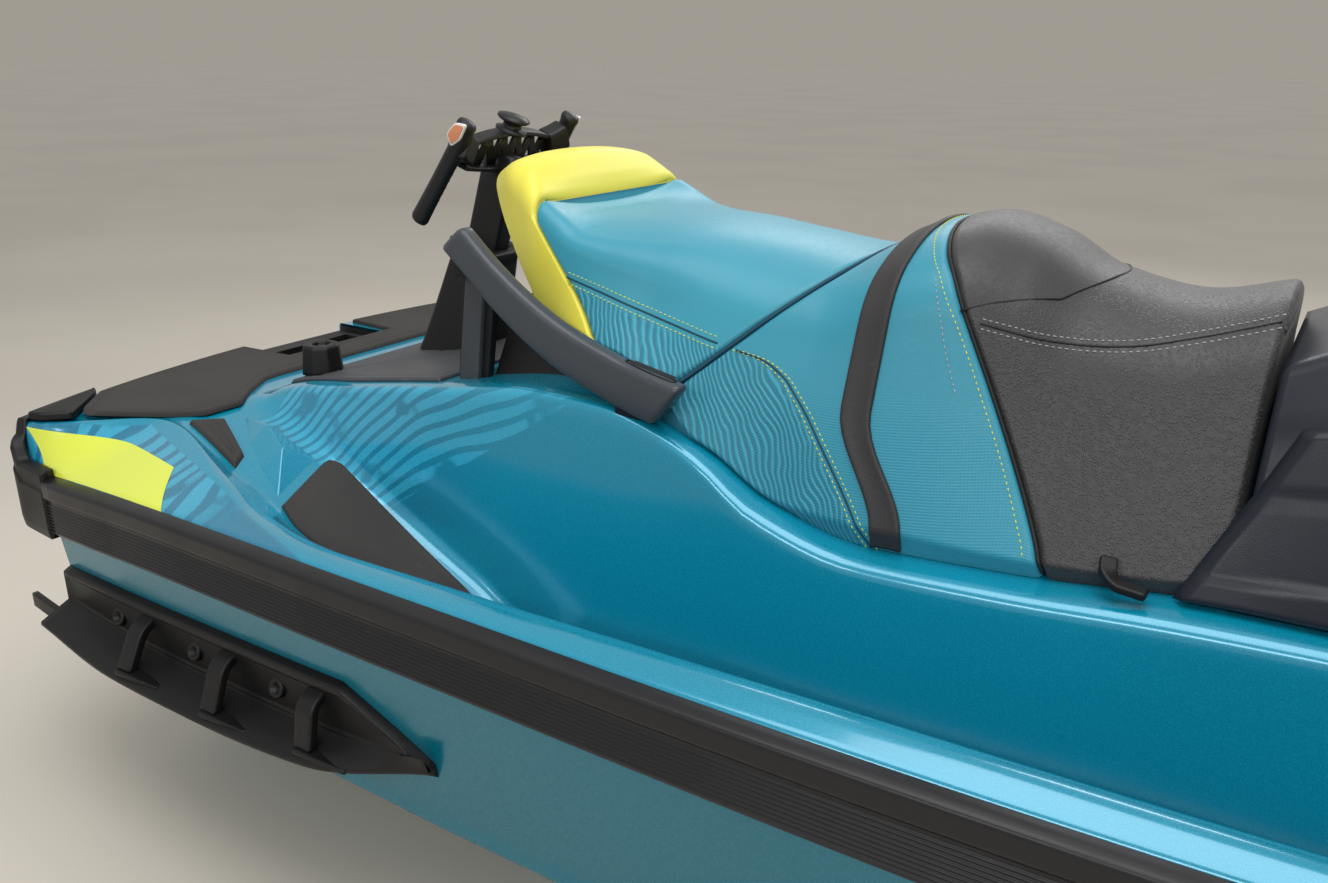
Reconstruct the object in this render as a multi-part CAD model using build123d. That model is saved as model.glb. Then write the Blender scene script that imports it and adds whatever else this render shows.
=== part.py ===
from build123d import *
import os
from math import cos, radians, sin

# Personal watercraft for three riders, bow along +X, port along +Y.
# Lengths are in millimetres. While it is drawn, X is the station forward of the
# stern reference, Z is the height above the keel, and Y is the half-breadth.
# Each solid is then moved so that the origin is the waterline mark amidships.

# Driving sizes of the hull. Its lines are drawn for one length and half beam:
# ahead of the console their stations stretch with the length, and the
# half-breadths of the outer lines stretch with the half beam.
HULL_LENGTH = 3430
HALF_BEAM = 627
FOREDECK_START = 2150
MARK_STATION = 1600
DRAUGHT = 270
TRANSOM_STATION = 150
BOND_DROP = 45
SIDE_INSET = 22
STERN_BULGE = 1813
STERN_EDGE = 9
CHINE_STEP = 24

# Clearances
SEAT_GAP = 0.3
RUN_GAP = 0.4

# Rub rail
RAIL_DEPTH = 85
RAIL_LIP = 28
RAIL_START = 184

# The lines are drawn on a hull whose stem and greatest half-breadth are in this row
DRAWN_HULL = (3430, 627)


def forward(station):
    """Station of a drawn one on this hull: the foredeck takes up what the length changes."""
    stretch = (HULL_LENGTH - FOREDECK_START) / (DRAWN_HULL[0] - FOREDECK_START)
    return station if station <= FOREDECK_START else FOREDECK_START + (station - FOREDECK_START) * stretch


def fitted(rows, spread=1):
    """Rows of a drawn line on this hull, their half-breadths times a spread."""
    return tuple((forward(row[0]), row[1] * spread) + row[2:] for row in rows)


BEAM_SPREAD = HALF_BEAM / DRAWN_HULL[1]
RAIL_END = forward(3150)

# Deck
PLATFORM_HEIGHT = 560
FLOOR_HEIGHT = 345
WALL_SHOULDER = 26
LEDGE_INSET = 22
LEDGE_RISE = 3
MOULDING = 12
TUB_START = 450
TUB_END = forward(2190)

# Each row: station, keel height, chine half-breadth as a share of the half beam,
# chine height, flange half-breadth as a share of the half beam, rub rail height
HULL_ROWS = (
    (0, 0, 0.860, 200, 0.930, 486),
    (150, 0, 0.869, 205, 0.951, 492),
    (450, 0, 0.885, 210, 0.978, 511),
    (900, 0, 0.896, 218, 0.995, 523),
    (1400, 0, 0.893, 228, 1.000, 532),
    (1900, 2, 0.861, 248, 0.990, 549),
    (2300, 14, 0.800, 285, 0.947, 573),
    (2650, 48, 0.690, 335, 0.864, 595),
    (2950, 112, 0.537, 395, 0.735, 615),
    (3190, 210, 0.360, 462, 0.555, 631),
    (3351, 330, 0.190, 520, 0.345, 642),
    (3430, 445, 0.070, 572, 0.150, 648),
)
HULL_ROWS = fitted(HULL_ROWS)

# Lines of the deck, as station, half-breadth and height
CREASE = fitted((
    (0, 566, PLATFORM_HEIGHT - 4), (90, 561, PLATFORM_HEIGHT - 2), (266, 446, PLATFORM_HEIGHT), (491, 520, 541),
    (597, 556, 528), (753, 576, 526), (876, 575, 529), (1322, 572, 543), (1706, 572, 557), (2150, 555, 580),
    (2500, 505, 600), (2950, 385, 625), (3190, 270, 640), (3351, 160, 652), (3430, 62, 656),
), BEAM_SPREAD)
FLOOR_OUTER = fitted((
    (0, 430, PLATFORM_HEIGHT), (266, 424, PLATFORM_HEIGHT), (300, 440, PLATFORM_HEIGHT - 4), (450, 468, 512),
    (600, 476, 450), (753, 480, 386), (860, 482, FLOOR_HEIGHT), (2080, 466, FLOOR_HEIGHT + 6), (2190, 450, 566),
    (2500, 410, 622), (2950, 280, 648), (3190, 180, 655), (3351, 100, 660), (3430, 45, 660),
), BEAM_SPREAD)
FLOOR_INNER = fitted((
    (0, 300, PLATFORM_HEIGHT), (290, 302, PLATFORM_HEIGHT), (300, 305, PLATFORM_HEIGHT - 4), (450, 318, 512),
    (600, 322, 450), (753, 328, 386), (860, 334, FLOOR_HEIGHT), (2080, 326, FLOOR_HEIGHT + 6), (2190, 320, 600),
    (2500, 330, 668), (2950, 236, 672), (3190, 140, 668), (3351, 74, 664), (3430, 34, 662),
))
RIDGE = fitted((
    (0, 280, PLATFORM_HEIGHT), (290, 280, PLATFORM_HEIGHT), (305, 280, PLATFORM_HEIGHT + 11), (480, 280, 605),
    (683, 280, 639), (842, 280, 661), (938, 280, 659), (1000, 282, 648), (1085, 288, 621), (1165, 290, 577),
    (1291, 290, 548), (1444, 290, 556), (1630, 290, 574), (2150, 290, 604), (2500, 300, 700),
    (2950, 205, 694), (3190, 112, 678), (3351, 52, 668), (3430, 26, 664),
))

# Mats
MAT_THICKNESS = 8
RAMP_MAT_START = 304
RAMP_MAT_END = 442
FOOT_MAT_START = TUB_START + 22
FOOT_MAT_END = TUB_END - 120
PLATFORM_OUTLINE = (
    (-20, -500), (120, -512), (262, -434), (297, -400), (297, -335), (258, -290), (215, -230), (215, -1),
)

# Stern platform and rear deck
STEP_HALF_WIDTH = 112
STEP_REACH = 118
STEP_HINGE = 112
STEP_HEIGHT = PLATFORM_HEIGHT - 20
STEP_PIN = 5
CORNER_TURN = 78
CORNER_INNER = 430
REAR_PANEL_START = 312
REAR_PANEL_END = 639
SEAT_BASE_START = 700
SEAT_BASE_END = 990
SEAT_BASE_HALF = (205, 150)
DECK_PANEL = 6
ANCHOR_STATION = 345
ANCHOR_BREADTH = 215
ANCHOR_WIDTH = 62
ANCHOR_HEIGHT = 40

# Sponson lines: its top edge as station and height, its fin as station, reach beyond
# the hull's side and height
SPONSON_TOP = ((152, 340), (486, 355), (779, 368), (859, 331), (915, 300))
SPONSON_FIN = ((152, 70, 262), (354, 82, 250), (557, 79, 253), (752, 67, 263), (915, 14, 290))
HOOK_STATIONS = (290, 430, 570)
HOOK_WIDTH = 34
HOOK_FOOT = 24

# Seat lines, as station, half-breadth and height
SEAT_CROWN = (
    (590, 0, 905), (640, 0, 932), (690, 0, 944), (722, 0, 944), (745, 0, 916), (765, 0, 876), (800, 0, 868),
    (909, 0, 868), (966, 0, 867), (1066, 0, 860), (1180, 0, 850), (1280, 0, 895), (1334, 0, 907),
    (1400, 0, 892), (1472, 0, 855), (1559, 0, 838), (1655, 0, 860),
)
SEAT_SHOULDER = (
    (590, 70, 897), (640, 116, 915), (690, 152, 930), (722, 166, 922), (745, 178, 908), (765, 184, 896),
    (800, 190, 874), (837, 196, 852), (909, 188, 842), (966, 180, 838), (1066, 174, 820), (1180, 178, 805),
    (1280, 176, 842), (1334, 172, 852), (1400, 164, 826), (1472, 158, 792), (1559, 150, 790), (1655, 136, 815),
)
SEAT_FLANK = (
    (590, 80, 850), (640, 122, 850), (681, 148, 842), (722, 172, 835), (765, 192, 830), (837, 205, 805),
    (909, 206, 784), (966, 208, 762), (1066, 218, 735), (1180, 226, 706), (1280, 222, 700), (1334, 216, 702),
    (1400, 210, 690), (1472, 204, 676), (1559, 196, 686), (1655, 180, 705),
)
SEAT_SKIRT = (
    (590, 80, 780), (681, 150, 778), (750, 186, 772), (800, 204, 760), (850, 224, 752), (909, 242, 738),
    (966, 248, 724), (1010, 254, 700), (1066, 262, 650), (1180, 262, 595), (1280, 262, 590), (1334, 260, 592),
    (1400, 258, 592), (1472, 256, 595), (1559, 250, 600), (1655, 240, 612),
)
SEAT_FLOOR = ((590, 0, 752), (748, 0, 745), (909, 0, 722), (1000, 0, 700), (1066, 0, 676))
SEAT_START = SEAT_CROWN[0][0]
SEAT_FLOOR_END = SEAT_FLOOR[-1][0]
SEAT_END = 1655

# Seams across the seat seen from the side, each from below upwards as station and height
TAIL_FACE = ((800, 700), (750, 772), (590, 930), (590, 1000))
TAIL_SEAM = ((950, 676), (885, 743), (763, 868), (763, 1000))
PASSENGER_SEAM = ((1005, 500), (1020, 690), (1215, 864), (1215, 1000))
TEAL_SEAM = ((1510, 500), (1478, 595), (1334, 852), (1288, 900), (1288, 1000))
FRONT_SEAM = ((SEAT_END + 1, 500), (SEAT_END + 1, 1000))

STRAP_START = 1284
STRAP_WIDTH = 36
STRAP_THICKNESS = 4

# Grab rail
GRAB_LINE = (
    (660, 250, 860), (704, 254, 828), (753, 259, 791), (805, 262, 757), (852, 263, 731), (898, 264, 712),
    (937, 266, 700), (973, 268, 690), (1014, 273, 683), (1060, 278, 676),
)
GRAB_ENDS = ((664, 640), (664, 832), (706, 864), (1058, 864), (1058, 705), (1014, 650), (1014, 640))
GRAB_THICK = 26
GRAB_DEEP = 62
GRAB_LEG = ((646, 600), (700, 600), (722, 770), (706, 806), (668, 806))
GRAB_LEG_BREADTH = 218
GRAB_ARM = (676, 714, 790, 806)
GRAB_FOOT = (960, 1010, 600, 690)

# Console and storage
CONSOLE_START = 1660
CONSOLE_END = FOREDECK_START
CONSOLE_TOP = ((1660, 150, 800), (1800, 150, 868), (1960, 140, 915), (2150, 150, 935))
CONSOLE_WAIST = ((1660, 190, 740), (1800, 205, 775), (1960, 212, 800), (2150, 230, 810))
CONSOLE_FOOT = ((1660, 252, 600), (1800, 258, 612), (1960, 262, 620), (2150, 262, 628))
PANEL_THICKNESS = 14
GAUGE_OUTLINE = ((80, 915), (2, 915), (2, 985), (40, 985))
GAUGE_HALF = 96
LID_START = FOREDECK_START + 10
LID_END = forward(3140)
LID_WALL = 9
HINGE_RADIUS = 6
LID_HINGE_HALF = 46
LID_HINGE = LID_END + 4
LID_HINGE_HEIGHT = 704
GLOVE_HINGE_HALF = 60
GLOVE_HINGE_RADIUS = 4
GLOVE_HINGE_HEIGHT = 884
LID_FOOT = 3.6
GLOVE_START = 1700
GLOVE_END = 1850
GLOVE_HALF = 112
GLOVE_LID = 12
GLOVE_FLOOR = 700
LID_TOP = fitted(((2160, 0, 930), (2350, 0, 905), (2600, 0, 852), (2900, 0, 776), (3140, 0, 706)))
LID_SHOULDER = fitted(((2160, 150, 915), (2350, 165, 885), (2600, 165, 832), (2900, 115, 758), (3140, 60, 700)))
LID_WAIST = fitted(((2160, 240, 800), (2350, 262, 790), (2600, 262, 768), (2900, 190, 726), (3140, 112, 694)))
BIN_START = 2280
BIN_END = forward(2900)
BIN_HALF_WIDTH = 170
BIN_FLOOR = 470
BIN_WALL = 4

# Steering
BAR_STATION = 1965
BAR_HEIGHT = 1062
BAR_RAKE = 24
BAR_HALF_WIDTH = 385
BAR_RADIUS = 11
GRIP_RADIUS = 17
GRIP_LENGTH = 128
COLUMN_RADIUS = 32
COLUMN_PIN = 15
COLUMN_FOOT = -90

# Tow pylon
PYLON_STATION = 512
PYLON_COLLAR_HEIGHT = 786
PYLON_STROKE = 110
MAST_WIDTH = 46
MAST_LENGTH = 50
MAST_RAKE = 18
MAST_FOOT = -155
HEAD_HEIGHT = 186
HEAD_RISE = 54
HEAD_DEPTH = 52
HEAD_HALF = 134
HANDLE_BREADTH = 148
TRUSS_COUNT = 4
TRUSS_BAR = 8

# Jet pump, on one line fore and aft
PUMP_HEIGHT = 135
PUMP_FRONT = 500
PUMP_RADIUS = 98
PUMP_BORE = 79
TUNNEL_HALF_WIDTH = 142
TUNNEL_TOP = 300
INTAKE_FRONT = 1040
INTAKE_HALF_WIDTH = 88
GRATE_START = 700
GRATE_PITCH = 44
GRATE_BAR = 8
GRATE_DEPTH = 18
SHAFT_RADIUS = 14
NOZZLE_PIVOT = 190
NOZZLE_END = 70
OUTLET_END = 250
OUTLET_RADIUS = 56
OUTLET_BORE = 46
GATE_PIVOT = (165, 175)
GATE_RADIUS = 150
GATE_HALF = 123
GATE_PIN = 6
EAR_BREADTH = 110
NOZZLE_PIN = 6
RIDE_PLATE_START = 60
PLATE_THICKNESS = 10
BLADE_COUNT = 4
VANE_COUNT = 6
BOWL_END = 330
HUB_START = 300
HUB_END = 345
HUB_RADIUS = 34
BLADE_STATION = 395
IMPELLER_END = 470
LUG_HALF = 14
LUG_LOW = 84
LUG_HIGH = 94

# Engine bay and engine
BAY_START = 960
BAY_END = 1660
BAY_HALF_WIDTH = 235
BAY_FLOOR = 120
ENGINE_LENGTH = 620
ENGINE_WIDTH = 400
ENGINE_HEIGHT = 335

EYE_BORE = 9
BOW_EYE_HEIGHT = 520
STERN_EYE_BREADTH = 330
STERN_EYE_HEIGHT = 380

nodes = {}


def along(line, station):
    """Half-breadth and height of a line at a station, straight between its rows."""
    if station <= line[0][0]:
        return line[0][1:]
    for a, b in zip(line, line[1:]):
        if station <= b[0]:
            share = (station - a[0]) / (b[0] - a[0])
            return tuple(p + (q - p) * share for p, q in zip(a[1:], b[1:]))
    return line[-1][1:]


def hull_at(station):
    """Keel height, chine half-breadth and height, flange half-breadth and rail height."""
    rows = [(r[0], r[1], r[2] * HALF_BEAM, r[3], r[4] * HALF_BEAM, r[5]) for r in HULL_ROWS]
    return along(rows, station)


def hull_stations(start, end):
    """Stations of the hull's rows between two stations, with both ends."""
    inner = [row[0] for row in HULL_ROWS if start + 5 < row[0] < end - 5]
    return [start] + inner + [end]


def stations_of(start, end, *lines):
    """All stations at which one of the lines has a row, with both ends, none close together."""
    found = [start]
    for station in sorted(row[0] for line in lines for row in line):
        if station > found[-1] + 2 and station < end - 2:
            found.append(station)
    return found + [end]


def bond_height(station):
    return hull_at(station)[4] - BOND_DROP


def side_at(station):
    return hull_at(station)[3] - SIDE_INSET


def hull_side(station, height):
    """Half-breadth of the hull's flat side at a height between chine and bond."""
    keel, chine, chine_height, flange, rail = hull_at(station)
    share = (height - chine_height) / (rail - BOND_DROP - chine_height)
    return chine + (side_at(station) - chine) * share


def section(station, points):
    """Closed polygon of (half-breadth, height) points across the boat."""
    return Wire.make_polygon([(station, y, z) for y, z in points], close=True)


def mirrored(half):
    """A half section from the centre line outwards, with its mirror image."""
    other = [(-y, z) for y, z in half if abs(y) > 0.01]
    return half + other[::-1]


def skin(stations, points_at):
    """Ruled solid through the sections that points_at gives at the stations."""
    return Solid.make_loft([section(s, points_at(s)) for s in stations], ruled=True)


def prism_y(points, half_width):
    """Profile in station and height, as wide as half_width on each side."""
    plane = Plane.XZ
    face = make_face(Polyline(*[(x, z) for x, z in points], close=True))
    return extrude(plane * face, half_width, both=True)


def prism_z(points, low, high):
    """Plan outline in station and half-breadth between two heights."""
    face = make_face(Polyline(*points, close=True))
    return extrude(Pos(0, 0, low) * face, high - low)


def block(x0, x1, y0, y1, z0, z1):
    box = Box(x1 - x0, y1 - y0, z1 - z0)
    return Pos((x0 + x1) / 2, (y0 + y1) / 2, (z0 + z1) / 2) * box


def tube_x(radius, x0, x1, y, z):
    return Pos((x0 + x1) / 2, y, z) * Rot(0, 90, 0) * Cylinder(radius, x1 - x0)


def tube_y(radius, y0, y1, x, z):
    return Pos(x, (y0 + y1) / 2, z) * Rot(90, 0, 0) * Cylinder(radius, y1 - y0)


def port_of(solid):
    return mirror(solid, about=Plane.XZ)


def pair(name, solid):
    """A piece on the starboard side and its mirror image to port."""
    nodes[name + "_starboard"] = solid
    nodes[name + "_port"] = port_of(solid)


# Deck: platform, ramps and footwells, pedestal under the seat and bow deck, in one moulding
def deck_half(station):
    crease = along(CREASE, station)
    outer = along(FLOOR_OUTER, station)
    inner = along(FLOOR_INNER, station)
    ridge = along(RIDGE, station)
    rail = hull_at(station)[4]
    side = side_at(station)
    wall = min(WALL_SHOULDER, (crease[0] - outer[0]) * 0.3)
    inset = min(LEDGE_INSET, ridge[0] * 0.5)
    return [
        (side, rail - BOND_DROP),
        (side, rail + 2),
        crease,
        (crease[0] - wall, crease[1] - wall * 0.3),
        outer,
        inner,
        ridge,
        (ridge[0] - inset, ridge[1] + ledge_rise(station)),
    ]


def ledge_rise(station):
    """The ledge is level with the platform aft and stands a little above the ridge forward."""
    return LEDGE_RISE if station > 300 else 0


def ledge_height(station):
    return along(RIDGE, station)[1] + ledge_rise(station)


def deck_stations(start, end):
    return stations_of(start, end, HULL_ROWS, CREASE, FLOOR_OUTER, FLOOR_INNER, RIDGE)


def underside(station):
    """Underside of the moulding from the flange inwards: level with the bond, dipping round the footwell."""
    bond = bond_height(station)
    outer = along(FLOOR_OUTER, station)
    inner = along(FLOOR_INNER, station)
    return [
        (outer[0] + MOULDING, min(bond, outer[1] - MOULDING)),
        (inner[0] - MOULDING, min(bond, inner[1] - MOULDING)),
        (inner[0] - MOULDING * 2, bond),
    ]


def tub_points(station):
    """The part of the footwell's moulding that hangs below the bond, on the starboard side."""
    bond = bond_height(station)
    side = side_at(station)
    low = [(-y, z) for y, z in underside(station)]
    return [(-side, bond)] + low + [(low[-1][0], bond + 40), (-side, bond + 40)]


def make_deck():
    def whole(station):
        top = deck_half(station)
        low = underside(station)
        return top + [(-y, z) for y, z in top[::-1]] + [(-y, z) for y, z in low] + low[::-1]

    deck = skin(deck_stations(0, HULL_LENGTH), whole)
    deck &= Pos(STERN_EDGE + STERN_BULGE, 0, 0) * Cylinder(STERN_BULGE, 2000)
    notch = block(STERN_EDGE - 50, STERN_EDGE + STEP_REACH, -STEP_HALF_WIDTH, STEP_HALF_WIDTH, 300, 700)
    deck -= notch
    deck -= mast_well()
    deck -= block(BIN_START, BIN_END, -BIN_HALF_WIDTH, BIN_HALF_WIDTH, 300, 900)
    return deck


# Hull: bottom with a lifting strake and a chine step each side, pump tunnel and intake
def hull_half(station):
    keel, chine, chine_height, flange, rail = hull_at(station)
    rise = chine_height - CHINE_STEP - keel
    return [
        (0, keel),
        (chine * 0.46, keel + rise * 0.46),
        (chine * 0.50, keel + rise * 0.45),
        (chine * 0.936, keel + rise * 0.97),
        (chine, chine_height - CHINE_STEP),
        (chine, chine_height),
        (side_at(station), rail - BOND_DROP),
    ]


def make_hull():
    hull = skin(hull_stations(TRANSOM_STATION, HULL_LENGTH), lambda s: mirrored(hull_half(s)))
    tub = skin(deck_stations(TUB_START, TUB_END), tub_points)
    hull -= tub
    hull -= port_of(tub)
    tunnel_floor = -50
    hull -= block(TRANSOM_STATION - 10, PUMP_FRONT, -TUNNEL_HALF_WIDTH, TUNNEL_HALF_WIDTH,
                  tunnel_floor, TUNNEL_TOP)
    hull -= tube_x(PUMP_BORE, PUMP_FRONT - 1, PUMP_FRONT + 140, 0, PUMP_HEIGHT)
    duct_top = PUMP_HEIGHT + PUMP_BORE
    duct = ((PUMP_FRONT + 60, duct_top), (PUMP_FRONT + 160, duct_top), (INTAKE_FRONT, -1),
            (INTAKE_FRONT, -40), (PUMP_FRONT + 180, -40), (PUMP_FRONT + 130, PUMP_HEIGHT - PUMP_BORE),
            (PUMP_FRONT + 60, PUMP_HEIGHT - PUMP_BORE))
    hull -= prism_y(duct, INTAKE_HALF_WIDTH)
    hull -= tube_x(SHAFT_RADIUS + 2, PUMP_FRONT, BAY_START + 1, 0, PUMP_HEIGHT)
    hull -= block(BAY_START, BAY_END, -BAY_HALF_WIDTH, BAY_HALF_WIDTH, BAY_FLOOR, PLATFORM_HEIGHT)
    return hull


def on_mast(solid):
    """Places what is drawn about the pylon's collar, with Z along the raked mast."""
    return Pos(PYLON_STATION, 0, PYLON_COLLAR_HEIGHT) * Rot(0, MAST_RAKE, 0) * solid


def mast_box(grow, low, high):
    long = MAST_LENGTH / 2 + grow
    wide = MAST_WIDTH / 2 + grow
    return on_mast(block(-long, long, -wide, wide, low, high))


def mast_well():
    return mast_box(5, MAST_FOOT - PYLON_STROKE - 8, -100)


nodes["hull"] = make_hull()
nodes["deck"] = make_deck()


# Rub rail: smooth lip over a lower band, along the joint of hull and deck
def rail_points(station):
    top = hull_at(station)[4]
    side = side_at(station)
    inner = side + SEAT_GAP
    outer = side + SIDE_INSET
    return [
        (-inner, top - RAIL_DEPTH), (-outer + 4, top - RAIL_DEPTH), (-outer + 2, top - RAIL_LIP - 4),
        (-outer, top - RAIL_LIP), (-outer, top - 8), (-outer + 8, top), (-inner, top),
    ]


pair("rub_rail", skin(hull_stations(RAIL_START, RAIL_END), rail_points))


# Bow bumper: wraps the stem at the height of the rub rail
def bumper_points(station):
    top = hull_at(station)[4]
    side = side_at(station)
    outer = side + SIDE_INSET
    return [(-outer, top - RAIL_DEPTH), (-outer, top), (outer, top), (outer, top - RAIL_DEPTH)]


def make_bumper():
    bumper = skin(hull_stations(RAIL_END + 1, HULL_LENGTH + 20), bumper_points)

    def core(station):
        top = hull_at(station)[4]
        side = side_at(station) + SEAT_GAP
        return [(-side, top - RAIL_DEPTH - 5), (-side, top + 5), (side, top + 5), (side, top - RAIL_DEPTH - 5)]

    return bumper - skin(hull_stations(RAIL_END - 5, HULL_LENGTH + SEAT_GAP), core)


nodes["bow_bumper"] = make_bumper()


# Stern corner caps: plan ring round the platform's corners
def make_corner():
    low = hull_at(0)[4] - RAIL_DEPTH
    high = hull_at(0)[4] + 34
    cap_outer = side_at(CORNER_TURN) + SIDE_INSET
    ring = Circle(STERN_BULGE + SIDE_INSET) - Circle(STERN_BULGE + SEAT_GAP)
    ring = Pos(STERN_EDGE + STERN_BULGE, 0) * ring
    window = Polyline((-60, -CORNER_INNER), (140, -CORNER_INNER), (140, -cap_outer), (-60, -cap_outer),
                      close=True)
    aft = ring & make_face(window)
    front = RAIL_START - 1
    side = Polyline(
        (CORNER_TURN, -side_at(CORNER_TURN)), (front, -side_at(front) - SEAT_GAP),
        (front, -side_at(front) - SIDE_INSET), (CORNER_TURN, -cap_outer), close=True)
    plan = aft + make_face(side)
    cap = extrude(Pos(0, 0, low) * plan, high - low)
    return cap - nodes["deck"] - nodes["hull"]


pair("stern_corner", make_corner())


# Sponson: pad on the hull's side with an outward fin along its foot and three hooks
def sponson_points(station):
    top = along(SPONSON_TOP, station)[0]
    out, fin = along(SPONSON_FIN, station)
    lean = SEAT_GAP + 0.5
    at_top = hull_side(station, top) + lean
    at_fin = hull_side(station, fin - 12) + lean
    reach = at_fin + out
    return [
        (-at_top, top), (-at_top - 13, top - 6), (-at_fin - 22, fin + 26),
        (-reach, fin + 7), (-reach, fin), (-at_fin, fin - 12),
    ]


def make_sponson():
    stations = stations_of(SPONSON_TOP[0][0], SPONSON_TOP[-1][0], SPONSON_TOP, SPONSON_FIN)
    body = skin(stations, sponson_points)
    for start in HOOK_STATIONS:
        top = along(SPONSON_TOP, start)[0] - 34
        out, fin = along(SPONSON_FIN, start + HOOK_WIDTH)
        root = hull_side(start, top) + 10
        reach = hull_side(start, fin - 12) + out - 8
        arm = Polyline((-root, top), (-root - 16, top), (-reach, fin + 24), (-reach, fin + 4),
                       (-reach + HOOK_FOOT, fin + 4), (-root, top - 30), close=True)
        body += extrude(Plane.YZ.offset(start) * make_face(arm), HOOK_WIDTH)
        body += block(start, start + HOOK_WIDTH * 2, -reach, -reach + HOOK_FOOT, fin + 2, fin + 16)
    return body


pair("sponson", make_sponson())


# Foam mats on the platform, the ramps and the floors
def make_platform_mat():
    margin = STEP_HALF_WIDTH + 8
    half = [(x, y * BEAM_SPREAD) for x, y in PLATFORM_OUTLINE]
    plan = make_face(Polyline(*half, *[(x, -y) for x, y in half[::-1]], close=True))
    plan &= Pos(STERN_EDGE + STERN_BULGE, 0) * Circle(STERN_BULGE - 14)
    mat = extrude(Pos(0, 0, PLATFORM_HEIGHT) * plan, MAT_THICKNESS)
    return mat - block(-50, STERN_EDGE + STEP_REACH + 10, -margin, margin, 500, 600)


def ramp_mat(start, end, outer_share, inner_share):
    """A mat on the ramp or floor, between two shares of the way across it."""
    def points(station):
        outer_y, outer_h = along(FLOOR_OUTER, station)
        inner_y, inner_h = along(FLOOR_INNER, station)
        slope = (outer_h - inner_h) / (outer_y - inner_y)
        far = inner_y + (outer_y - inner_y) * outer_share
        near = inner_y + (outer_y - inner_y) * inner_share
        low_far = outer_h + slope * (far - outer_y) + SEAT_GAP
        low_near = outer_h + slope * (near - outer_y) + SEAT_GAP
        top_far = low_far + MAT_THICKNESS
        top_near = low_near + MAT_THICKNESS
        return [(-near, low_near), (-far, low_far), (-far, top_far), (-near, top_near)]

    return skin(stations_of(start, end, FLOOR_OUTER, FLOOR_INNER), points)


nodes["platform_mat"] = make_platform_mat()
pair("ramp_mat", ramp_mat(RAMP_MAT_START, RAMP_MAT_END, 0.90, 0.55))
pair("footwell_mat", ramp_mat(FOOT_MAT_START, FOOT_MAT_END, 0.89, 0.11))


# Rear deck panel over the middle of the deck, between platform and seat base
def flat_panel(start, end, half_width, thickness, depth=0):
    """A plate on the level middle of the deck, reaching down by depth."""
    def points(station):
        low = ledge_height(station) + SEAT_GAP
        high = low + thickness
        low -= depth
        return [(-half_width, low), (half_width, low), (half_width, high), (-half_width, high)]

    return skin(stations_of(start, end, RIDGE), points)


PANEL_HALF = RIDGE[0][1] - LEDGE_INSET - 4
nodes["rear_deck_panel"] = flat_panel(REAR_PANEL_START, REAR_PANEL_END, PANEL_HALF, DECK_PANEL) - mast_well()


def above_panel(solid):
    """What is left of a solid above the rear deck panel."""
    below = flat_panel(REAR_PANEL_START - 60, REAR_PANEL_END + 40, PANEL_HALF + 40, DECK_PANEL + SEAT_GAP, 150)
    return solid - below


# Accessory anchors: faceted posts on the rear deck panel
def make_anchor():
    base = ledge_height(ANCHOR_STATION + ANCHOR_WIDTH / 2) + SEAT_GAP + DECK_PANEL
    foot = Plane.XY.offset(-20) * RegularPolygon(ANCHOR_WIDTH / 2, 8, major_radius=False)
    head = Plane.XY.offset(ANCHOR_HEIGHT) * RegularPolygon(ANCHOR_WIDTH / 2 - 4, 8, major_radius=False)
    return above_panel(Pos(ANCHOR_STATION, -ANCHOR_BREADTH, base) * loft([foot, head]))


pair("anchor", make_anchor())


# Boarding step: a folding frame in the stern notch, hinged at its forward end
def make_step():
    width = STEP_HALF_WIDTH - 6
    front = STEP_HINGE + 8
    aft = STERN_EDGE + 6
    frame = block(aft, front, -width, width, STEP_HEIGHT - 8, STEP_HEIGHT + 8)
    frame -= block(aft + 34, front - 20, -width + 16, width - 16, STEP_HEIGHT - 20, STEP_HEIGHT + 20)
    frame += tube_y(STEP_PIN, -width - 9, width + 9, STEP_HINGE, STEP_HEIGHT)
    return frame


nodes["boarding_step"] = make_step()
pin_bore = tube_y(STEP_PIN + RUN_GAP, -STEP_HALF_WIDTH - 5, STEP_HALF_WIDTH + 5, STEP_HINGE, STEP_HEIGHT)
nodes["deck"] -= pin_bore


# Seat: one crowned body split at its seams, with a base of hard plastic behind
def seat_floor(station):
    if station <= SEAT_FLOOR_END:
        return along(SEAT_FLOOR, station)[1]
    return ledge_height(station) + SEAT_GAP


def seat_half(station):
    skirt = along(SEAT_SKIRT, station)
    floor = seat_floor(station)
    return [
        (skirt[0] - 8, floor), (skirt[0], max(skirt[1] - 14, floor + 6)), along(SEAT_FLANK, station),
        along(SEAT_SHOULDER, station), (along(SEAT_SHOULDER, station)[0] * 0.5, seat_bulge(station)),
        along(SEAT_CROWN, station),
    ]


def seat_bulge(station):
    """Height half way from shoulder to crown line."""
    crown = along(SEAT_CROWN, station)[1]
    return crown - (crown - along(SEAT_SHOULDER, station)[1]) * 0.22


def seat_section(station):
    half = seat_half(station)
    return half + [(-y, z) for y, z in half[-2::-1]]


SEAT_LINES = (SEAT_CROWN, SEAT_SHOULDER, SEAT_FLANK, SEAT_SKIRT, SEAT_FLOOR, RIDGE)
seat_body = skin(stations_of(SEAT_START, SEAT_END, *SEAT_LINES), seat_section)


def seat_piece(aft, front):
    """The part of the seat between two of its seams."""
    shape = list(aft) + [(x - SEAT_GAP, z) for x, z in front[::-1]]
    return seat_body & prism_y(shape, HALF_BEAM)


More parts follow.
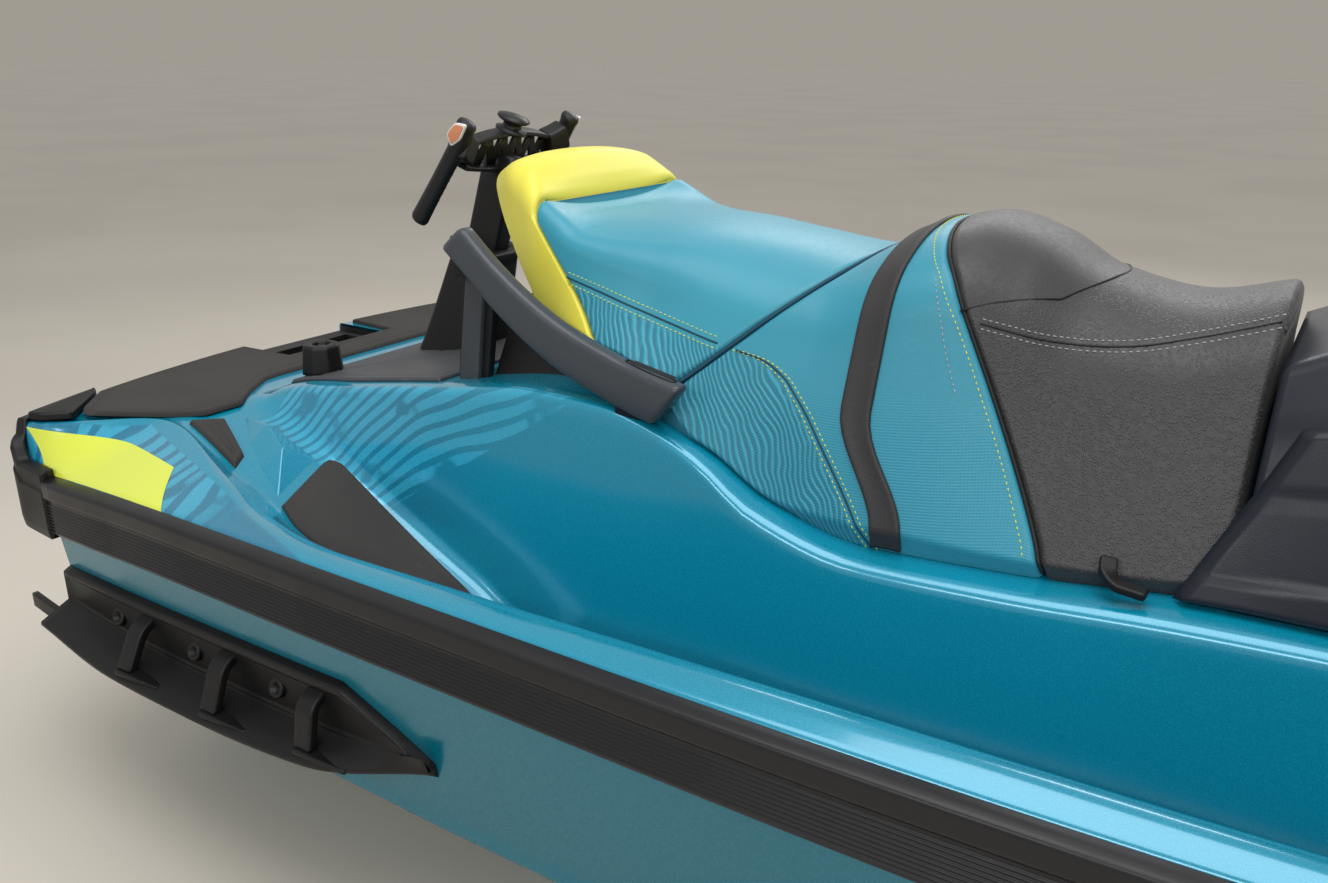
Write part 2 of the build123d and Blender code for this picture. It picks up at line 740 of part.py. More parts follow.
nodes["seat_tail"] = seat_piece(TAIL_FACE, TAIL_SEAM)
nodes["seat_passenger"] = seat_piece(TAIL_SEAM, PASSENGER_SEAM)
nodes["seat_driver_rear"] = seat_piece(PASSENGER_SEAM, TEAL_SEAM)
nodes["seat_driver_front"] = seat_piece(TEAL_SEAM, FRONT_SEAM)


def strap_points(station):
    half = seat_half(station)[1:]

    def lifted(by):
        """The seat's profile moved out by a distance: sideways off the middle, upwards on the top."""
        return [(y + (by if y > 1 else 0), z + (by if y < 200 else 0)) for y, z in half]

    outer = lifted(STRAP_THICKNESS)
    inner = lifted(SEAT_GAP)
    whole_outer = outer + [(-y, z) for y, z in outer[-2::-1]]
    whole_inner = inner + [(-y, z) for y, z in inner[-2::-1]]
    return whole_outer + whole_inner[::-1]


nodes["seat_strap"] = skin([STRAP_START, STRAP_START + STRAP_WIDTH], strap_points)


def make_seat_base():
    def points(station):
        low = ledge_height(station) + SEAT_GAP
        high = seat_floor(station) - SEAT_GAP
        wide, narrow = SEAT_BASE_HALF
        return [(-wide, low), (wide, low), (narrow, high), (-narrow, high)]

    return skin(stations_of(SEAT_BASE_START, SEAT_BASE_END, RIDGE, SEAT_FLOOR), points)


nodes["seat_base"] = make_seat_base()


# Grab rail: a flattened bar each side on brackets from the deck
def grab_points(station):
    y, z = along(GRAB_LINE, station)
    thick = GRAB_THICK / 2
    deep = GRAB_DEEP / 2
    cut = GRAB_THICK / 4
    return [
        (-y - thick, z - deep + cut), (-y - thick + cut, z - deep), (-y + thick - cut, z - deep),
        (-y + thick, z - deep + cut), (-y + thick, z + deep - cut), (-y + thick - cut, z + deep),
        (-y - thick + cut, z + deep), (-y - thick, z + deep - cut),
    ]


def make_grab_rail():
    ends = extrude(Plane.XZ * make_face(Polyline(*GRAB_ENDS, close=True)), HALF_BEAM)
    bar = skin([row[0] for row in GRAB_LINE], grab_points) & ends
    leg = extrude(Plane.XZ.offset(GRAB_LEG_BREADTH) * make_face(Polyline(*GRAB_LEG, close=True)), 7, both=True)
    start, end, low, high = GRAB_ARM
    arm = block(start, end, -GRAB_LINE[1][1], -GRAB_LEG_BREADTH, low, high)
    start, end, low, high = GRAB_FOOT
    foot = block(start, end, -GRAB_LINE[-2][1], GRAB_THICK / 2 - GRAB_LINE[-3][1], low, high)
    return bar + leg + arm + foot - flat_panel(500, 1060, 400, 0, 200)


pair("grab_rail", make_grab_rail())


# Tow pylon: fixed tower with a rectangular bore, and a mast with a head and two handles
def make_pylon_base():
    low = Pos(0, 0, -215) * Rectangle(MAST_LENGTH + 76, 176)
    high = Rectangle(MAST_LENGTH + 26, MAST_WIDTH + 34)
    return above_panel(on_mast(loft([low, high]))) - mast_box(RUN_GAP, -300, 10) - mast_well()


nodes["pylon_base"] = make_pylon_base()


def make_pylon():
    mast = mast_box(0, MAST_FOOT, HEAD_HEIGHT)
    head = block(-HEAD_DEPTH / 2, HEAD_DEPTH / 2, -HEAD_HALF, HEAD_HALF, HEAD_HEIGHT - HEAD_RISE, HEAD_HEIGHT)
    low = HEAD_HEIGHT - HEAD_RISE + TRUSS_BAR
    high = HEAD_HEIGHT - TRUSS_BAR
    pitch = (HEAD_HALF * 2 - TRUSS_BAR * 2) / (TRUSS_COUNT + 0.5)
    for k in range(TRUSS_COUNT * 2):
        y = TRUSS_BAR - HEAD_HALF + pitch * (k + 1) / 2
        base, tip = (low, high) if k % 2 == 0 else (high, low)
        gap = Polyline((y - pitch / 2 + TRUSS_BAR, base), (y + pitch / 2 - TRUSS_BAR, base), (y, tip), close=True)
        head -= extrude(Plane.YZ * make_face(gap), HEAD_DEPTH, both=True)
    head += Pos(0, 0, HEAD_HEIGHT + 7) * Cylinder(18, 16)
    head += Pos(0, 0, HEAD_HEIGHT + 18) * Cylinder(28, 8)
    pylon = mast + on_mast(head)
    for side in (-1, 1):
        path = Line((14, side * HANDLE_BREADTH, HEAD_HEIGHT + 16),
                    (-30, side * (HANDLE_BREADTH + 6), HEAD_HEIGHT - 130))
        profile = Plane(origin=path @ 0, x_dir=(0, 1, 0), z_dir=path % 0) * RectangleRounded(30, 26, 8)
        inner = min(side * (HEAD_HALF - 4), side * HANDLE_BREADTH)
        outer = max(side * (HEAD_HALF - 4), side * HANDLE_BREADTH)
        joint = block(-8, 14, inner, outer, HEAD_HEIGHT - HEAD_RISE, HEAD_HEIGHT - 6)
        pylon += on_mast(sweep(profile, path) + joint)
    return pylon


nodes["pylon"] = make_pylon()


# Console, its side panels and the glovebox
def console_half(station):
    return [
        (along(CONSOLE_FOOT, station)[0], ledge_height(station) + SEAT_GAP),
        along(CONSOLE_WAIST, station),
        along(CONSOLE_TOP, station),
    ]


def make_console():
    stations = stations_of(CONSOLE_START, CONSOLE_END, CONSOLE_TOP, RIDGE)

    def points(station):
        half = console_half(station)
        return half + [(-y, z) for y, z in half[::-1]]

    return skin(stations, points)


def panel_points(station):
    foot, waist, top = console_half(station)
    skin_gap = SEAT_GAP
    out = PANEL_THICKNESS
    return [
        (-foot[0] - skin_gap, foot[1] + LEDGE_RISE), (-waist[0] - skin_gap, waist[1]),
        (-waist[0] - out, waist[1] + 6), (-foot[0] - out, foot[1] + LEDGE_RISE),
    ]


steer_axis = Axis((BAR_STATION, 0, BAR_HEIGHT), (-sin(radians(BAR_RAKE)), 0, cos(radians(BAR_RAKE))))
steer_plane = Plane(origin=steer_axis.position, x_dir=(0, 1, 0), z_dir=steer_axis.direction)


def on_column(radius, low, high):
    """Round bar on the steering axis, with heights along it from the bar's centre."""
    return extrude(steer_plane.offset(low) * Circle(radius), high - low)


console = make_console()
collar = on_column(COLUMN_RADIUS + 10, -230, COLUMN_FOOT - RUN_GAP)
console += collar - block(1500, 2400, -300, 300, 500, 700)
console -= on_column(COLUMN_PIN + RUN_GAP, COLUMN_FOOT - 60, COLUMN_FOOT)


def glove_slab(grow):
    """The top skin of the console over the glovebox, larger by grow each way."""
    region = block(GLOVE_START - grow, GLOVE_END + grow, -GLOVE_HALF - grow, GLOVE_HALF + grow, 500, 1100)
    return (console & region) - Pos(0, 0, -GLOVE_LID) * console


def glove_barrel(grow):
    """The hinge's barrel at the lid's front edge, larger by grow all round."""
    half = GLOVE_HINGE_HALF + grow
    return tube_y(GLOVE_HINGE_RADIUS + grow, -half, half, GLOVE_END + 0.6, GLOVE_HINGE_HEIGHT)


nodes["glovebox_lid"] = glove_slab(0) + glove_barrel(0)
console -= glove_slab(1)
console -= glove_barrel(RUN_GAP)
console -= block(GLOVE_START + 14, GLOVE_END - 14, -GLOVE_HALF + 14, GLOVE_HALF - 14, GLOVE_FLOOR, 1100)
nodes["console"] = console
pair("console_panel", skin(stations_of(CONSOLE_START + 2, CONSOLE_END, CONSOLE_TOP, RIDGE), panel_points))
gauge = prism_y([(CONSOLE_END - back, height) for back, height in GAUGE_OUTLINE], GAUGE_HALF)
nodes["gauge"] = gauge - Pos(0, 0, SEAT_GAP) * console


# Handlebar on a raked column, with grips, levers and a pad
def make_handlebar():
    bar = on_column(COLUMN_RADIUS, COLUMN_FOOT, 6) + on_column(COLUMN_PIN, COLUMN_FOOT - 50, COLUMN_FOOT)
    for side in (-1, 1):
        path = Polyline((BAR_STATION, 0, BAR_HEIGHT), (BAR_STATION, side * 130, BAR_HEIGHT + 14),
                        (BAR_STATION - 40, side * BAR_HALF_WIDTH, BAR_HEIGHT + 8))
        profile = Plane(origin=path @ 0, z_dir=path % 0) * Circle(BAR_RADIUS)
        bar += sweep(profile, path, transition=Transition.ROUND)
    return bar


def make_grip():
    outer = Vector(BAR_STATION - 40, -BAR_HALF_WIDTH, BAR_HEIGHT + 8)
    inner = Vector(BAR_STATION, -130, BAR_HEIGHT + 14)
    line = (outer - inner).normalized()
    start = Plane(origin=outer - line * GRIP_LENGTH, z_dir=line)
    grip = extrude(start * Circle(GRIP_RADIUS), GRIP_LENGTH + 4)
    grip -= extrude(start.offset(-1) * Circle(BAR_RADIUS + SEAT_GAP / 3), GRIP_LENGTH + 1.2)
    return grip


def make_lever():
    """Pod round the bar with a blade lever ahead of the grip."""
    outer = Vector(BAR_STATION - 40, -BAR_HALF_WIDTH, BAR_HEIGHT + 8)
    inner = Vector(BAR_STATION, -130, BAR_HEIGHT + 14)
    line = (outer - inner).normalized()
    start = Plane(origin=outer - line * (GRIP_LENGTH + 50), z_dir=line)
    pod = extrude(start * RectangleRounded(50, 58, 12), 48)
    pod -= extrude(start.offset(-1) * Circle(BAR_RADIUS + SEAT_GAP / 3), 50)
    blade = Polyline((BAR_STATION + 3, -228), (BAR_STATION + 36, -216), (BAR_STATION + 40, -300),
                     (BAR_STATION + 22, -345), (BAR_STATION + 14, -345), (BAR_STATION + 26, -296),
                     (BAR_STATION + 20, -240), (BAR_STATION + 3, -246), close=True)
    return pod + extrude(Pos(0, 0, BAR_HEIGHT) * make_face(blade), 14)


nodes["handlebar"] = make_handlebar()
pair("grip", make_grip())
pair("lever", make_lever())
pad_low = steer_plane.offset(8) * RectangleRounded(190, 92, 26)
pad_high = steer_plane.offset(46) * RectangleRounded(140, 62, 20)
nodes["steering_pad"] = loft([pad_low, pad_high]) - nodes["handlebar"]


# Front storage: lid hinged at its nose, and the bin under it
def lid_half(station, wall):
    ridge = along(RIDGE, station)
    waist = along(LID_WAIST, station)
    shoulder = along(LID_SHOULDER, station)
    return [
        (ridge[0] - 2 - wall, ridge[1] + LID_FOOT - wall * 3), (waist[0] - wall, waist[1] - wall * 0.4),
        (shoulder[0] - wall * 0.5, shoulder[1] - wall), (0, along(LID_TOP, station)[1] - wall),
    ]


def lid_skin(wall):
    """The lid's outline drawn in by a wall on all sides."""
    def points(station):
        half = lid_half(station, wall)
        return half + [(-y, z) for y, z in half[-2::-1]]

    return skin(stations_of(LID_START + wall, LID_END - wall, LID_TOP, RIDGE), points)


def hinge_barrel(grow):
    """The lid hinge's barrel, larger by grow all round."""
    half = LID_HINGE_HALF + grow
    return tube_y(HINGE_RADIUS + grow, -half, half, LID_HINGE, LID_HINGE_HEIGHT)


def bin_block(inset, low, high):
    """A block as large in plan as the bin's space less an inset on all sides."""
    half = BIN_HALF_WIDTH - inset
    return block(BIN_START + inset, BIN_END - inset, -half, half, low, high)


nodes["storage_lid"] = lid_skin(0) - lid_skin(LID_WALL) + hinge_barrel(0)
bin_top = ledge_height(BIN_START) + 6
nodes["storage_bin"] = bin_block(1, BIN_FLOOR, bin_top) - bin_block(1 + BIN_WALL, BIN_FLOOR + BIN_WALL, bin_top + 1)
nodes["hull"] -= bin_block(0, BIN_FLOOR, bin_top)


def nose_points(station):
    half = along(RIDGE, station)[0] * 0.94
    low = ledge_height(station) + SEAT_GAP
    return [(-half, low), (-half * 0.6, low + 24), (half * 0.6, low + 24), (half, low)]


nose_panel = skin(stations_of(LID_END + 10, HULL_LENGTH - 4, RIDGE), nose_points)
nodes["nose_panel"] = nose_panel - hinge_barrel(RUN_GAP)


# Mirrors on short arms from the console's side panels
def make_mirror():
    arm = block(2096, 2124, -300, -236, 806, 822)
    head = Box(36, 104, 74)
    head = fillet(head.edges().filter_by(Axis.X), 18)
    return arm + Pos(2108, -320, 838) * Rot(0, 0, 8) * head


pair("mirror", make_mirror() - nodes["console_panel_starboard"] - nodes["console"])


# Jet pump: housing, impeller, steering nozzle, reverse gate
def revolve_x(points):
    """Solid of revolution about the pump's axis, from station and radius."""
    face = make_face(Polyline(*[(x, PUMP_HEIGHT + r) for x, r in points], close=True))
    return revolve(Plane.XZ * face, Axis((0, 0, PUMP_HEIGHT), (1, 0, 0)))


def make_pump_housing():
    shell = revolve_x(((PUMP_FRONT - SEAT_GAP / 3, PUMP_BORE), (PUMP_FRONT - SEAT_GAP / 3, PUMP_RADIUS + 14),
                       (PUMP_FRONT - 14, PUMP_RADIUS + 14), (PUMP_FRONT - 14, PUMP_RADIUS), (BOWL_END, PUMP_RADIUS),
                       (OUTLET_END, OUTLET_RADIUS + 14), (OUTLET_END - 10, OUTLET_RADIUS),
                       (NOZZLE_PIVOT, OUTLET_RADIUS), (NOZZLE_PIVOT, OUTLET_BORE),
                       (OUTLET_END, OUTLET_BORE + 4), (BOWL_END, PUMP_BORE)))
    bore = SHAFT_RADIUS + RUN_GAP
    shell += revolve_x(((HUB_END, bore), (HUB_END, HUB_RADIUS), (HUB_START, HUB_RADIUS),
                        (HUB_START - 75, 8), (HUB_START - 75, 0), (HUB_START, 0), (HUB_START, bore)))
    for k in range(VANE_COUNT):
        vane = Pos(HUB_START + 15, 0, HUB_RADIUS + 21) * Box(50, 4, 60)
        shell += Pos(0, 0, PUMP_HEIGHT) * Rot(k * 360 / VANE_COUNT, 0, 0) * vane
    for side in (-1, 1):
        ear = Polyline((BOWL_END + 30, PUMP_HEIGHT - 22), (BOWL_END + 30, PUMP_HEIGHT + 22), (GATE_PIVOT[0] - 4, GATE_PIVOT[1] + 14),
                       (GATE_PIVOT[0] - 12, GATE_PIVOT[1]), (GATE_PIVOT[0] - 4, GATE_PIVOT[1] - 14), close=True)
        plate = extrude(Plane.XZ * make_face(ear), 4, both=True)
        shell += Pos(0, side * EAR_BREADTH, 0) * plate
        inner = min(side * 90, side * EAR_BREADTH)
        outer = max(side * 90, side * EAR_BREADTH)
        shell += block(BOWL_END, BOWL_END + 70, inner, outer, PUMP_HEIGHT - 20, PUMP_HEIGHT + 20)
        lug = block(NOZZLE_PIVOT - 12, OUTLET_END + 4, -LUG_HALF, LUG_HALF, LUG_LOW, LUG_HIGH)
        lug += block(OUTLET_END - 6, OUTLET_END + 4, -LUG_HALF, LUG_HALF, OUTLET_RADIUS - 3, LUG_HIGH - 4)
        lug -= Pos(NOZZLE_PIVOT, 0, (LUG_LOW + LUG_HIGH) / 2) * Cylinder(NOZZLE_PIN + RUN_GAP, 30)
        shell += Pos(0, 0, PUMP_HEIGHT) * Rot(90 - side * 90, 0, 0) * lug
    return shell


nodes["pump_housing"] = make_pump_housing()


def make_impeller():
    start = HUB_END + 3
    hub = revolve_x(((start, 0.01), (start, HUB_RADIUS), (IMPELLER_END - 30, HUB_RADIUS - 4),
                     (IMPELLER_END, SHAFT_RADIUS), (BAY_START, SHAFT_RADIUS), (BAY_START, 0.01)))
    hub += tube_x(SHAFT_RADIUS, HUB_START + 4, start + 2, 0, PUMP_HEIGHT)
    for k in range(BLADE_COUNT):
        root = Pos(BLADE_STATION, 0, HUB_RADIUS - 8) * Rot(0, 0, 48) * Rectangle(92, 6)
        tip = Pos(BLADE_STATION, 0, PUMP_BORE - 3) * Rot(0, 0, 28) * Rectangle(104, 3)
        blade = loft([root, tip])
        blade &= tube_x(PUMP_BORE - 2, HUB_END, IMPELLER_END - 20, 0, 0)
        hub += Pos(0, 0, PUMP_HEIGHT) * Rot(k * 360 / BLADE_COUNT, 0, 0) * blade
    return hub


nodes["impeller"] = make_impeller()


def make_nozzle():
    ring = revolve_x(((NOZZLE_PIVOT + 10, 70), (NOZZLE_PIVOT + 10, 78), (150, 76), (NOZZLE_END, 56),
                      (NOZZLE_END, 48), (150, 68)))
    for side in (-1, 1):
        ring += Pos(NOZZLE_PIVOT, 0, PUMP_HEIGHT + side * 84) * Cylinder(NOZZLE_PIN, 24)
    return ring


nodes["nozzle"] = make_nozzle()


def make_gate():
    """Curved scoop on two arms, raised above the nozzle."""
    x, z = GATE_PIVOT
    ring = Circle(GATE_RADIUS + 6) - Circle(GATE_RADIUS)
    rays = [(240 * cos(radians(a)), 240 * sin(radians(a))) for a in (100, 125, 150)]
    wedge = make_face(Polyline((0, 0), *rays, close=True))
    scoop = extrude(Plane.XZ * (ring & wedge), GATE_HALF, both=True)
    outline = Polyline((-2, 14), (14, 0), (-2, -14), (-132, 62), (-136, 78), (-28, 152), (-20, 152), close=True)
    arm = extrude(Plane.XZ * make_face(outline), 4, both=True)
    gate = scoop + Pos(0, GATE_HALF - 4, 0) * arm + Pos(0, 4 - GATE_HALF, 0) * arm
    for side in (-1, 1):
        gate += Pos(0, side * (EAR_BREADTH + 2), 0) * Rot(90, 0, 0) * Cylinder(GATE_PIN, 18)
    return Pos(x, 0, z) * gate


nodes["reverse_gate"] = make_gate()
for side in (-1, 1):
    hole = Pos(GATE_PIVOT[0], side * EAR_BREADTH, GATE_PIVOT[1]) * Rot(90, 0, 0) * Cylinder(GATE_PIN + RUN_GAP, 30)
    nodes["pump_housing"] -= hole

# Ride plate under the pump, and the grate over the water intake
def ride_plate_points(station):
    keel, chine, chine_height = hull_at(station)[:3]
    slope = (chine_height - CHINE_STEP - keel) / chine
    wide = TUNNEL_HALF_WIDTH - 0.2
    half = [(0, keel), (wide, keel + wide * slope), (wide, keel + wide * slope + PLATE_THICKNESS)]
    return half + [(0, keel + PLATE_THICKNESS)] + [(-y, z) for y, z in half[:0:-1]]


nodes["ride_plate"] = skin(hull_stations(RIDE_PLATE_START, PUMP_FRONT - 1), ride_plate_points)


def make_grate():
    """Three bars fore and aft, joined by a cross bar aft, that end on the hull in front."""
    keel, chine, chine_height = hull_at(GRATE_START)[:3]
    top = keel + GRATE_PITCH * (chine_height - CHINE_STEP - keel) / chine + GRATE_DEPTH
    front = INTAKE_FRONT - 1
    half = INTAKE_HALF_WIDTH - 1
    grate = block(GRATE_START, front, -GRATE_BAR / 2, GRATE_BAR / 2, keel + 2, top)
    for y in (-GRATE_PITCH, GRATE_PITCH):
        grate += block(GRATE_START, front, y - GRATE_BAR / 2, y + GRATE_BAR / 2, top - GRATE_DEPTH, top)
    grate += block(GRATE_START, GRATE_START + 12, -half, half, top - GRATE_DEPTH, top)
    return grate - nodes["hull"]


nodes["intake_grate"] = make_grate()

# Engine: closed inside, one plain block on the bay's floor
nodes["engine"] = block(
    BAY_START + 20, BAY_START + 20 + ENGINE_LENGTH, -ENGINE_WIDTH / 2, ENGINE_WIDTH / 2,
    BAY_FLOOR, BAY_FLOOR + ENGINE_HEIGHT)


# Eyes for lines at bow and stern
def make_eye(x, y, z, facing):
    """A ring on a small plate, standing fore or aft of a face at station x."""
    plate = Pos(x + facing * 2, y, z) * Box(4, 26, 44)
    ring = Pos(x + facing * 17, y, z) * Rot(90, 0, 0) * (Cylinder(15, 9) - Cylinder(EYE_BORE, 12))
    return plate + ring


nodes["bow_eye"] = make_eye(HULL_LENGTH, 0, BOW_EYE_HEIGHT, 1)
pair("stern_eye", make_eye(TRANSOM_STATION, -STERN_EYE_BREADTH, STERN_EYE_HEIGHT, -1))

to_mark = Pos(-MARK_STATION, 0, -DRAUGHT)
os.makedirs("parts", exist_ok=True)
for name, solid in nodes.items():
    export_step(to_mark * solid, f"parts/{name}.step")
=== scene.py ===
from math import cos, pi, radians, sin

import bmesh
import bpy
import numpy as np
from mathutils import Matrix, Vector


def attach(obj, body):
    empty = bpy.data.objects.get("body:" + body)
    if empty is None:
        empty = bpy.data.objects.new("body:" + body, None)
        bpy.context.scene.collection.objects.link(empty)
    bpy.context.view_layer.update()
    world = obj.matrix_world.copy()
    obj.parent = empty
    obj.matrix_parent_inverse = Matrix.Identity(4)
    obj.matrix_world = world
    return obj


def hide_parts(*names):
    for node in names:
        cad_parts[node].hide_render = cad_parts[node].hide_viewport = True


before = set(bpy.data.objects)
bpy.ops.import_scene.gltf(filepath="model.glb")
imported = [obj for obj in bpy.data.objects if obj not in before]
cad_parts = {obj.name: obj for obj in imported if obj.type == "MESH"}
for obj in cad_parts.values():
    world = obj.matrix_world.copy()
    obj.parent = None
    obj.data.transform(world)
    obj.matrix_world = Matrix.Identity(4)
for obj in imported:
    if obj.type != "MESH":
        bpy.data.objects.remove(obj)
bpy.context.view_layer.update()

# Looks of a personal watercraft. Shapes are worked out in the boat's own lines, in
# millimetres: station forward of the stern reference, half-breadth to port, height
# above the keel. placed() moves them into the model's frame, in metres.
MARK = np.array((1600.0, 0.0, 270.0))
HALF_BEAM = 627
LENGTH = 3430
SIDES = (("starboard", 1), ("port", -1))


# Shapes

def placed(points):
    """Points of the boat's lines in the model's frame: less the waterline mark, over a thousand."""
    return (np.asarray(points, float) - MARK) / 1000


def unit(vectors):
    """Vectors at length one."""
    return vectors / np.maximum(np.linalg.norm(vectors, axis=-1, keepdims=True), 1e-9)


def run_of(path):
    """The length along a path at each of its points."""
    return np.concatenate(([0], np.cumsum(np.linalg.norm(np.diff(path, axis=0), axis=-1))))


def at_run(values, run, at):
    """Each column of values, which are given along a run, at other lengths of it."""
    return np.stack([np.interp(at, run, column) for column in values.T], axis=-1)


def eased(count):
    """Shares from 0 to 1 that crowd towards both ends."""
    return (1 - np.cos(np.linspace(0, pi, count))) / 2


def rolled(rim, radius):
    """A rolled edge: 0 at the rim, 1 from the radius inwards, on a quarter circle between."""
    return np.sqrt(np.clip(1 - (1 - np.clip(rim / radius, 0, 1))**2, 0, 1))


def bell(value, width):
    """1 at zero, falling away on both sides within about the width."""
    return np.exp(-(value / width)**2)


def line_at(rows, stations):
    """The columns of a drawn line at any stations: a cubic between each two rows, whose slope
    at a row is the harmonic mean of the slopes on both sides, and level where they turn."""
    rows = np.asarray(rows, float)
    x, y = rows[:, 0], rows[:, 1:]
    width = np.diff(x)[:, None]
    slope = np.diff(y, axis=0) / width
    lean = np.zeros_like(y)
    lean[0], lean[-1] = slope[0], slope[-1]
    if len(x) > 2:
        before, after = slope[:-1], slope[1:]
        same = before * after > 0
        near = 2 * width[1:] + width[:-1]
        far = width[1:] + 2 * width[:-1]
        safe_before = np.where(same, before, 1)
        safe_after = np.where(same, after, 1)
        lean[1:-1] = np.where(same, (near + far) / (near / safe_before + far / safe_after), 0)
    s = np.clip(stations, x[0], x[-1])
    k = np.clip(np.searchsorted(x, s) - 1, 0, len(x) - 2)
    t = ((s - x[k]) / width[k, 0])[..., None]
    a, b = y[k], y[k + 1]
    out, into = lean[k] * width[k], lean[k + 1] * width[k]
    return ((2 * t**3 - 3 * t**2 + 1) * a + (t**3 - 2 * t**2 + t) * out
            + (3 * t**2 - 2 * t**3) * b + (t**3 - t**2) * into)


def rounded(corners, radii, side=5, turn=4):
    """A profile through corners, each turned on a parabola that starts its radius before the
    corner and ends as far after it. Points crowd towards the ends of each straight run."""
    p = np.asarray(corners, float)
    step = np.diff(p, axis=-2)
    length = np.linalg.norm(step, axis=-1)
    way = step / np.maximum(length, 1e-6)[..., None]
    cut = np.zeros(p.shape[:-1])
    cut[..., 1:-1] = np.minimum(radii, 0.46 * np.minimum(length[..., :-1], length[..., 1:]))
    start, end = p.copy(), p.copy()
    start[..., 1:, :] -= way * cut[..., 1:, None]
    end[..., :-1, :] += way * cut[..., :-1, None]
    t = eased(side + 1)[:, None]
    runs = end[..., :-1, None, :] * (1 - t) + start[..., 1:, None, :] * t
    q = np.linspace(0, 1, turn + 1)[1:-1][:, None]
    turns = (start[..., 1:-1, None, :] * (1 - q)**2 + p[..., 1:-1, None, :] * 2 * q * (1 - q)
             + end[..., 1:-1, None, :] * q**2)
    parts = [runs[..., 0, :, :]]
    for i in range(turns.shape[-3]):
        parts += [turns[..., i, :, :], runs[..., i + 1, :, :]]
    return np.concatenate(parts, axis=-2)


def ring(corners, radii, side=3, turn=4):
    """A closed profile: rounded() from the middle of its last side round to there again."""
    p = np.asarray(corners, float)
    middle = (p[..., -1:, :] + p[..., :1, :]) / 2
    return rounded(np.concatenate((middle, p, middle), axis=-2), radii, side, turn)[..., :-1, :]


def step_up(value, low, high):
    """0 below low, 1 above high, and a smooth step between them."""
    t = np.clip((value - low) / (high - low), 0, 1)
    return t * t * (3 - 2 * t)


def facing(points):
    """Unit normals of a grid of points: its two tangents crossed."""
    return unit(np.cross(*np.gradient(points, axis=(0, 1))))


def mesh_of(name, points, faces, uv=None):
    """A smooth-shaded mesh of points and faces, with its surface map where one is given."""
    mesh = bpy.data.meshes.new(name)
    mesh.from_pydata(points.reshape(-1, 3), [], faces)
    mesh.polygons.foreach_set("use_smooth", np.ones(len(mesh.polygons), bool))
    if uv is not None:
        corner = np.zeros(len(mesh.loops), np.int32)
        mesh.loops.foreach_get("vertex_index", corner)
        mesh.uv_layers.new(name="surface").data.foreach_set("uv", uv.reshape(-1, 2)[corner].ravel())
    mesh.validate()
    return mesh


def look_out(mesh, out=None):
    """Turns a mesh's faces to look towards out, or away from the middle of a closed shape."""
    shape = bmesh.new()
    shape.from_mesh(mesh)
    if out is None:
        bmesh.ops.recalc_face_normals(shape, faces=shape.faces)
    elif sum(f.normal.dot(Vector(out)) * f.calc_area() for f in shape.faces) < 0:
        bmesh.ops.reverse_faces(shape, faces=shape.faces)
    shape.to_mesh(mesh)
    shape.free()
    return mesh


def quads(rows, columns, around=False):
    """Corner numbers of the four-sided faces of a grid."""
    i, j = np.meshgrid(np.arange(rows - 1), np.arange(columns - (not around)), indexing="ij")
    first, after = i * columns + j, i * columns + (j + 1) % columns
    return np.stack((first, first + columns, after + columns, after), axis=-1).reshape(-1, 4)


def grid(name, points, around=False, ladder=False, keep=None, out=None, ends=False):
    """A mesh over a grid of boat points. around closes it on itself, ladder fills both end
    rings with rungs from each point to its mirror image, ends fills them with one face, and
    keep is a mask of cells. Its surface map is the length along and round the grid, in metres.
    The faces are turned to look towards out, or away from the middle of a closed shape."""
    rows, columns = points.shape[:2]
    faces = quads(rows, columns, around)
    if keep is not None:
        faces = faces[keep.ravel()]
    faces = faces.tolist()
    if ladder:
        half = np.arange(columns // 2 - (columns % 2 == 0))
        rungs = np.stack((half, half + 1, columns - 2 - half, columns - 1 - half), axis=-1)
        for base, turn in ((0, 1), ((rows - 1) * columns, -1)):
            faces += [list(dict.fromkeys(rung)) for rung in (rungs[:, ::turn] + base).tolist()]
    if ends:
        faces += [list(range(columns)), list(range(rows * columns - 1, (rows - 1) * columns - 1, -1))]
    along = np.cumsum(np.linalg.norm(np.diff(points, axis=0, prepend=points[:1]), axis=-1), axis=0)
    across = np.cumsum(np.linalg.norm(np.diff(points, axis=1, prepend=points[:, :1]), axis=-1), axis=1)
    uv = np.stack((along, across - across[:, columns // 2, None]), axis=-1) / 1000
    return look_out(mesh_of(name, placed(points), [f for f in faces if len(f) > 2], uv), out)


def sweep(path, section, up=(0, 0, 1), scale=1.0):
    """A profile carried along a path: at each point its two columns run along the path's side
    and its rise, both square to the way it goes."""
    path = np.asarray(path, float)
    way = unit(np.gradient(path, axis=0))
    side = unit(np.cross(way, np.asarray(up, float)))
    rise = np.cross(side, way)
    size = np.broadcast_to(np.asarray(scale, float), path.shape[:1])[:, None, None]
    section = np.asarray(section, float)
    return path[:, None] + size * (section[:, :1] * side[:, None] + section[:, 1:] * rise[:, None])


def circle(radius, count):
    """A circle's points: the radius times the cosine and the sine of even turns."""
    turn = np.linspace(0, 2 * pi, count, endpoint=False)
    return np.column_stack((radius * np.cos(turn), radius * np.sin(turn)))


def bar_section(width, height, edge):
    """A rectangle with rounded corners, as a closed profile about its middle."""
    w, h = width / 2, height / 2
    return ring(((-w, -h), (w, -h), (w, h), (-w, h)), edge, 3, 5)


def tier(plan, height):
    """A flat outline as points at one height."""
    return np.column_stack((plan, np.full(len(plan), height)))


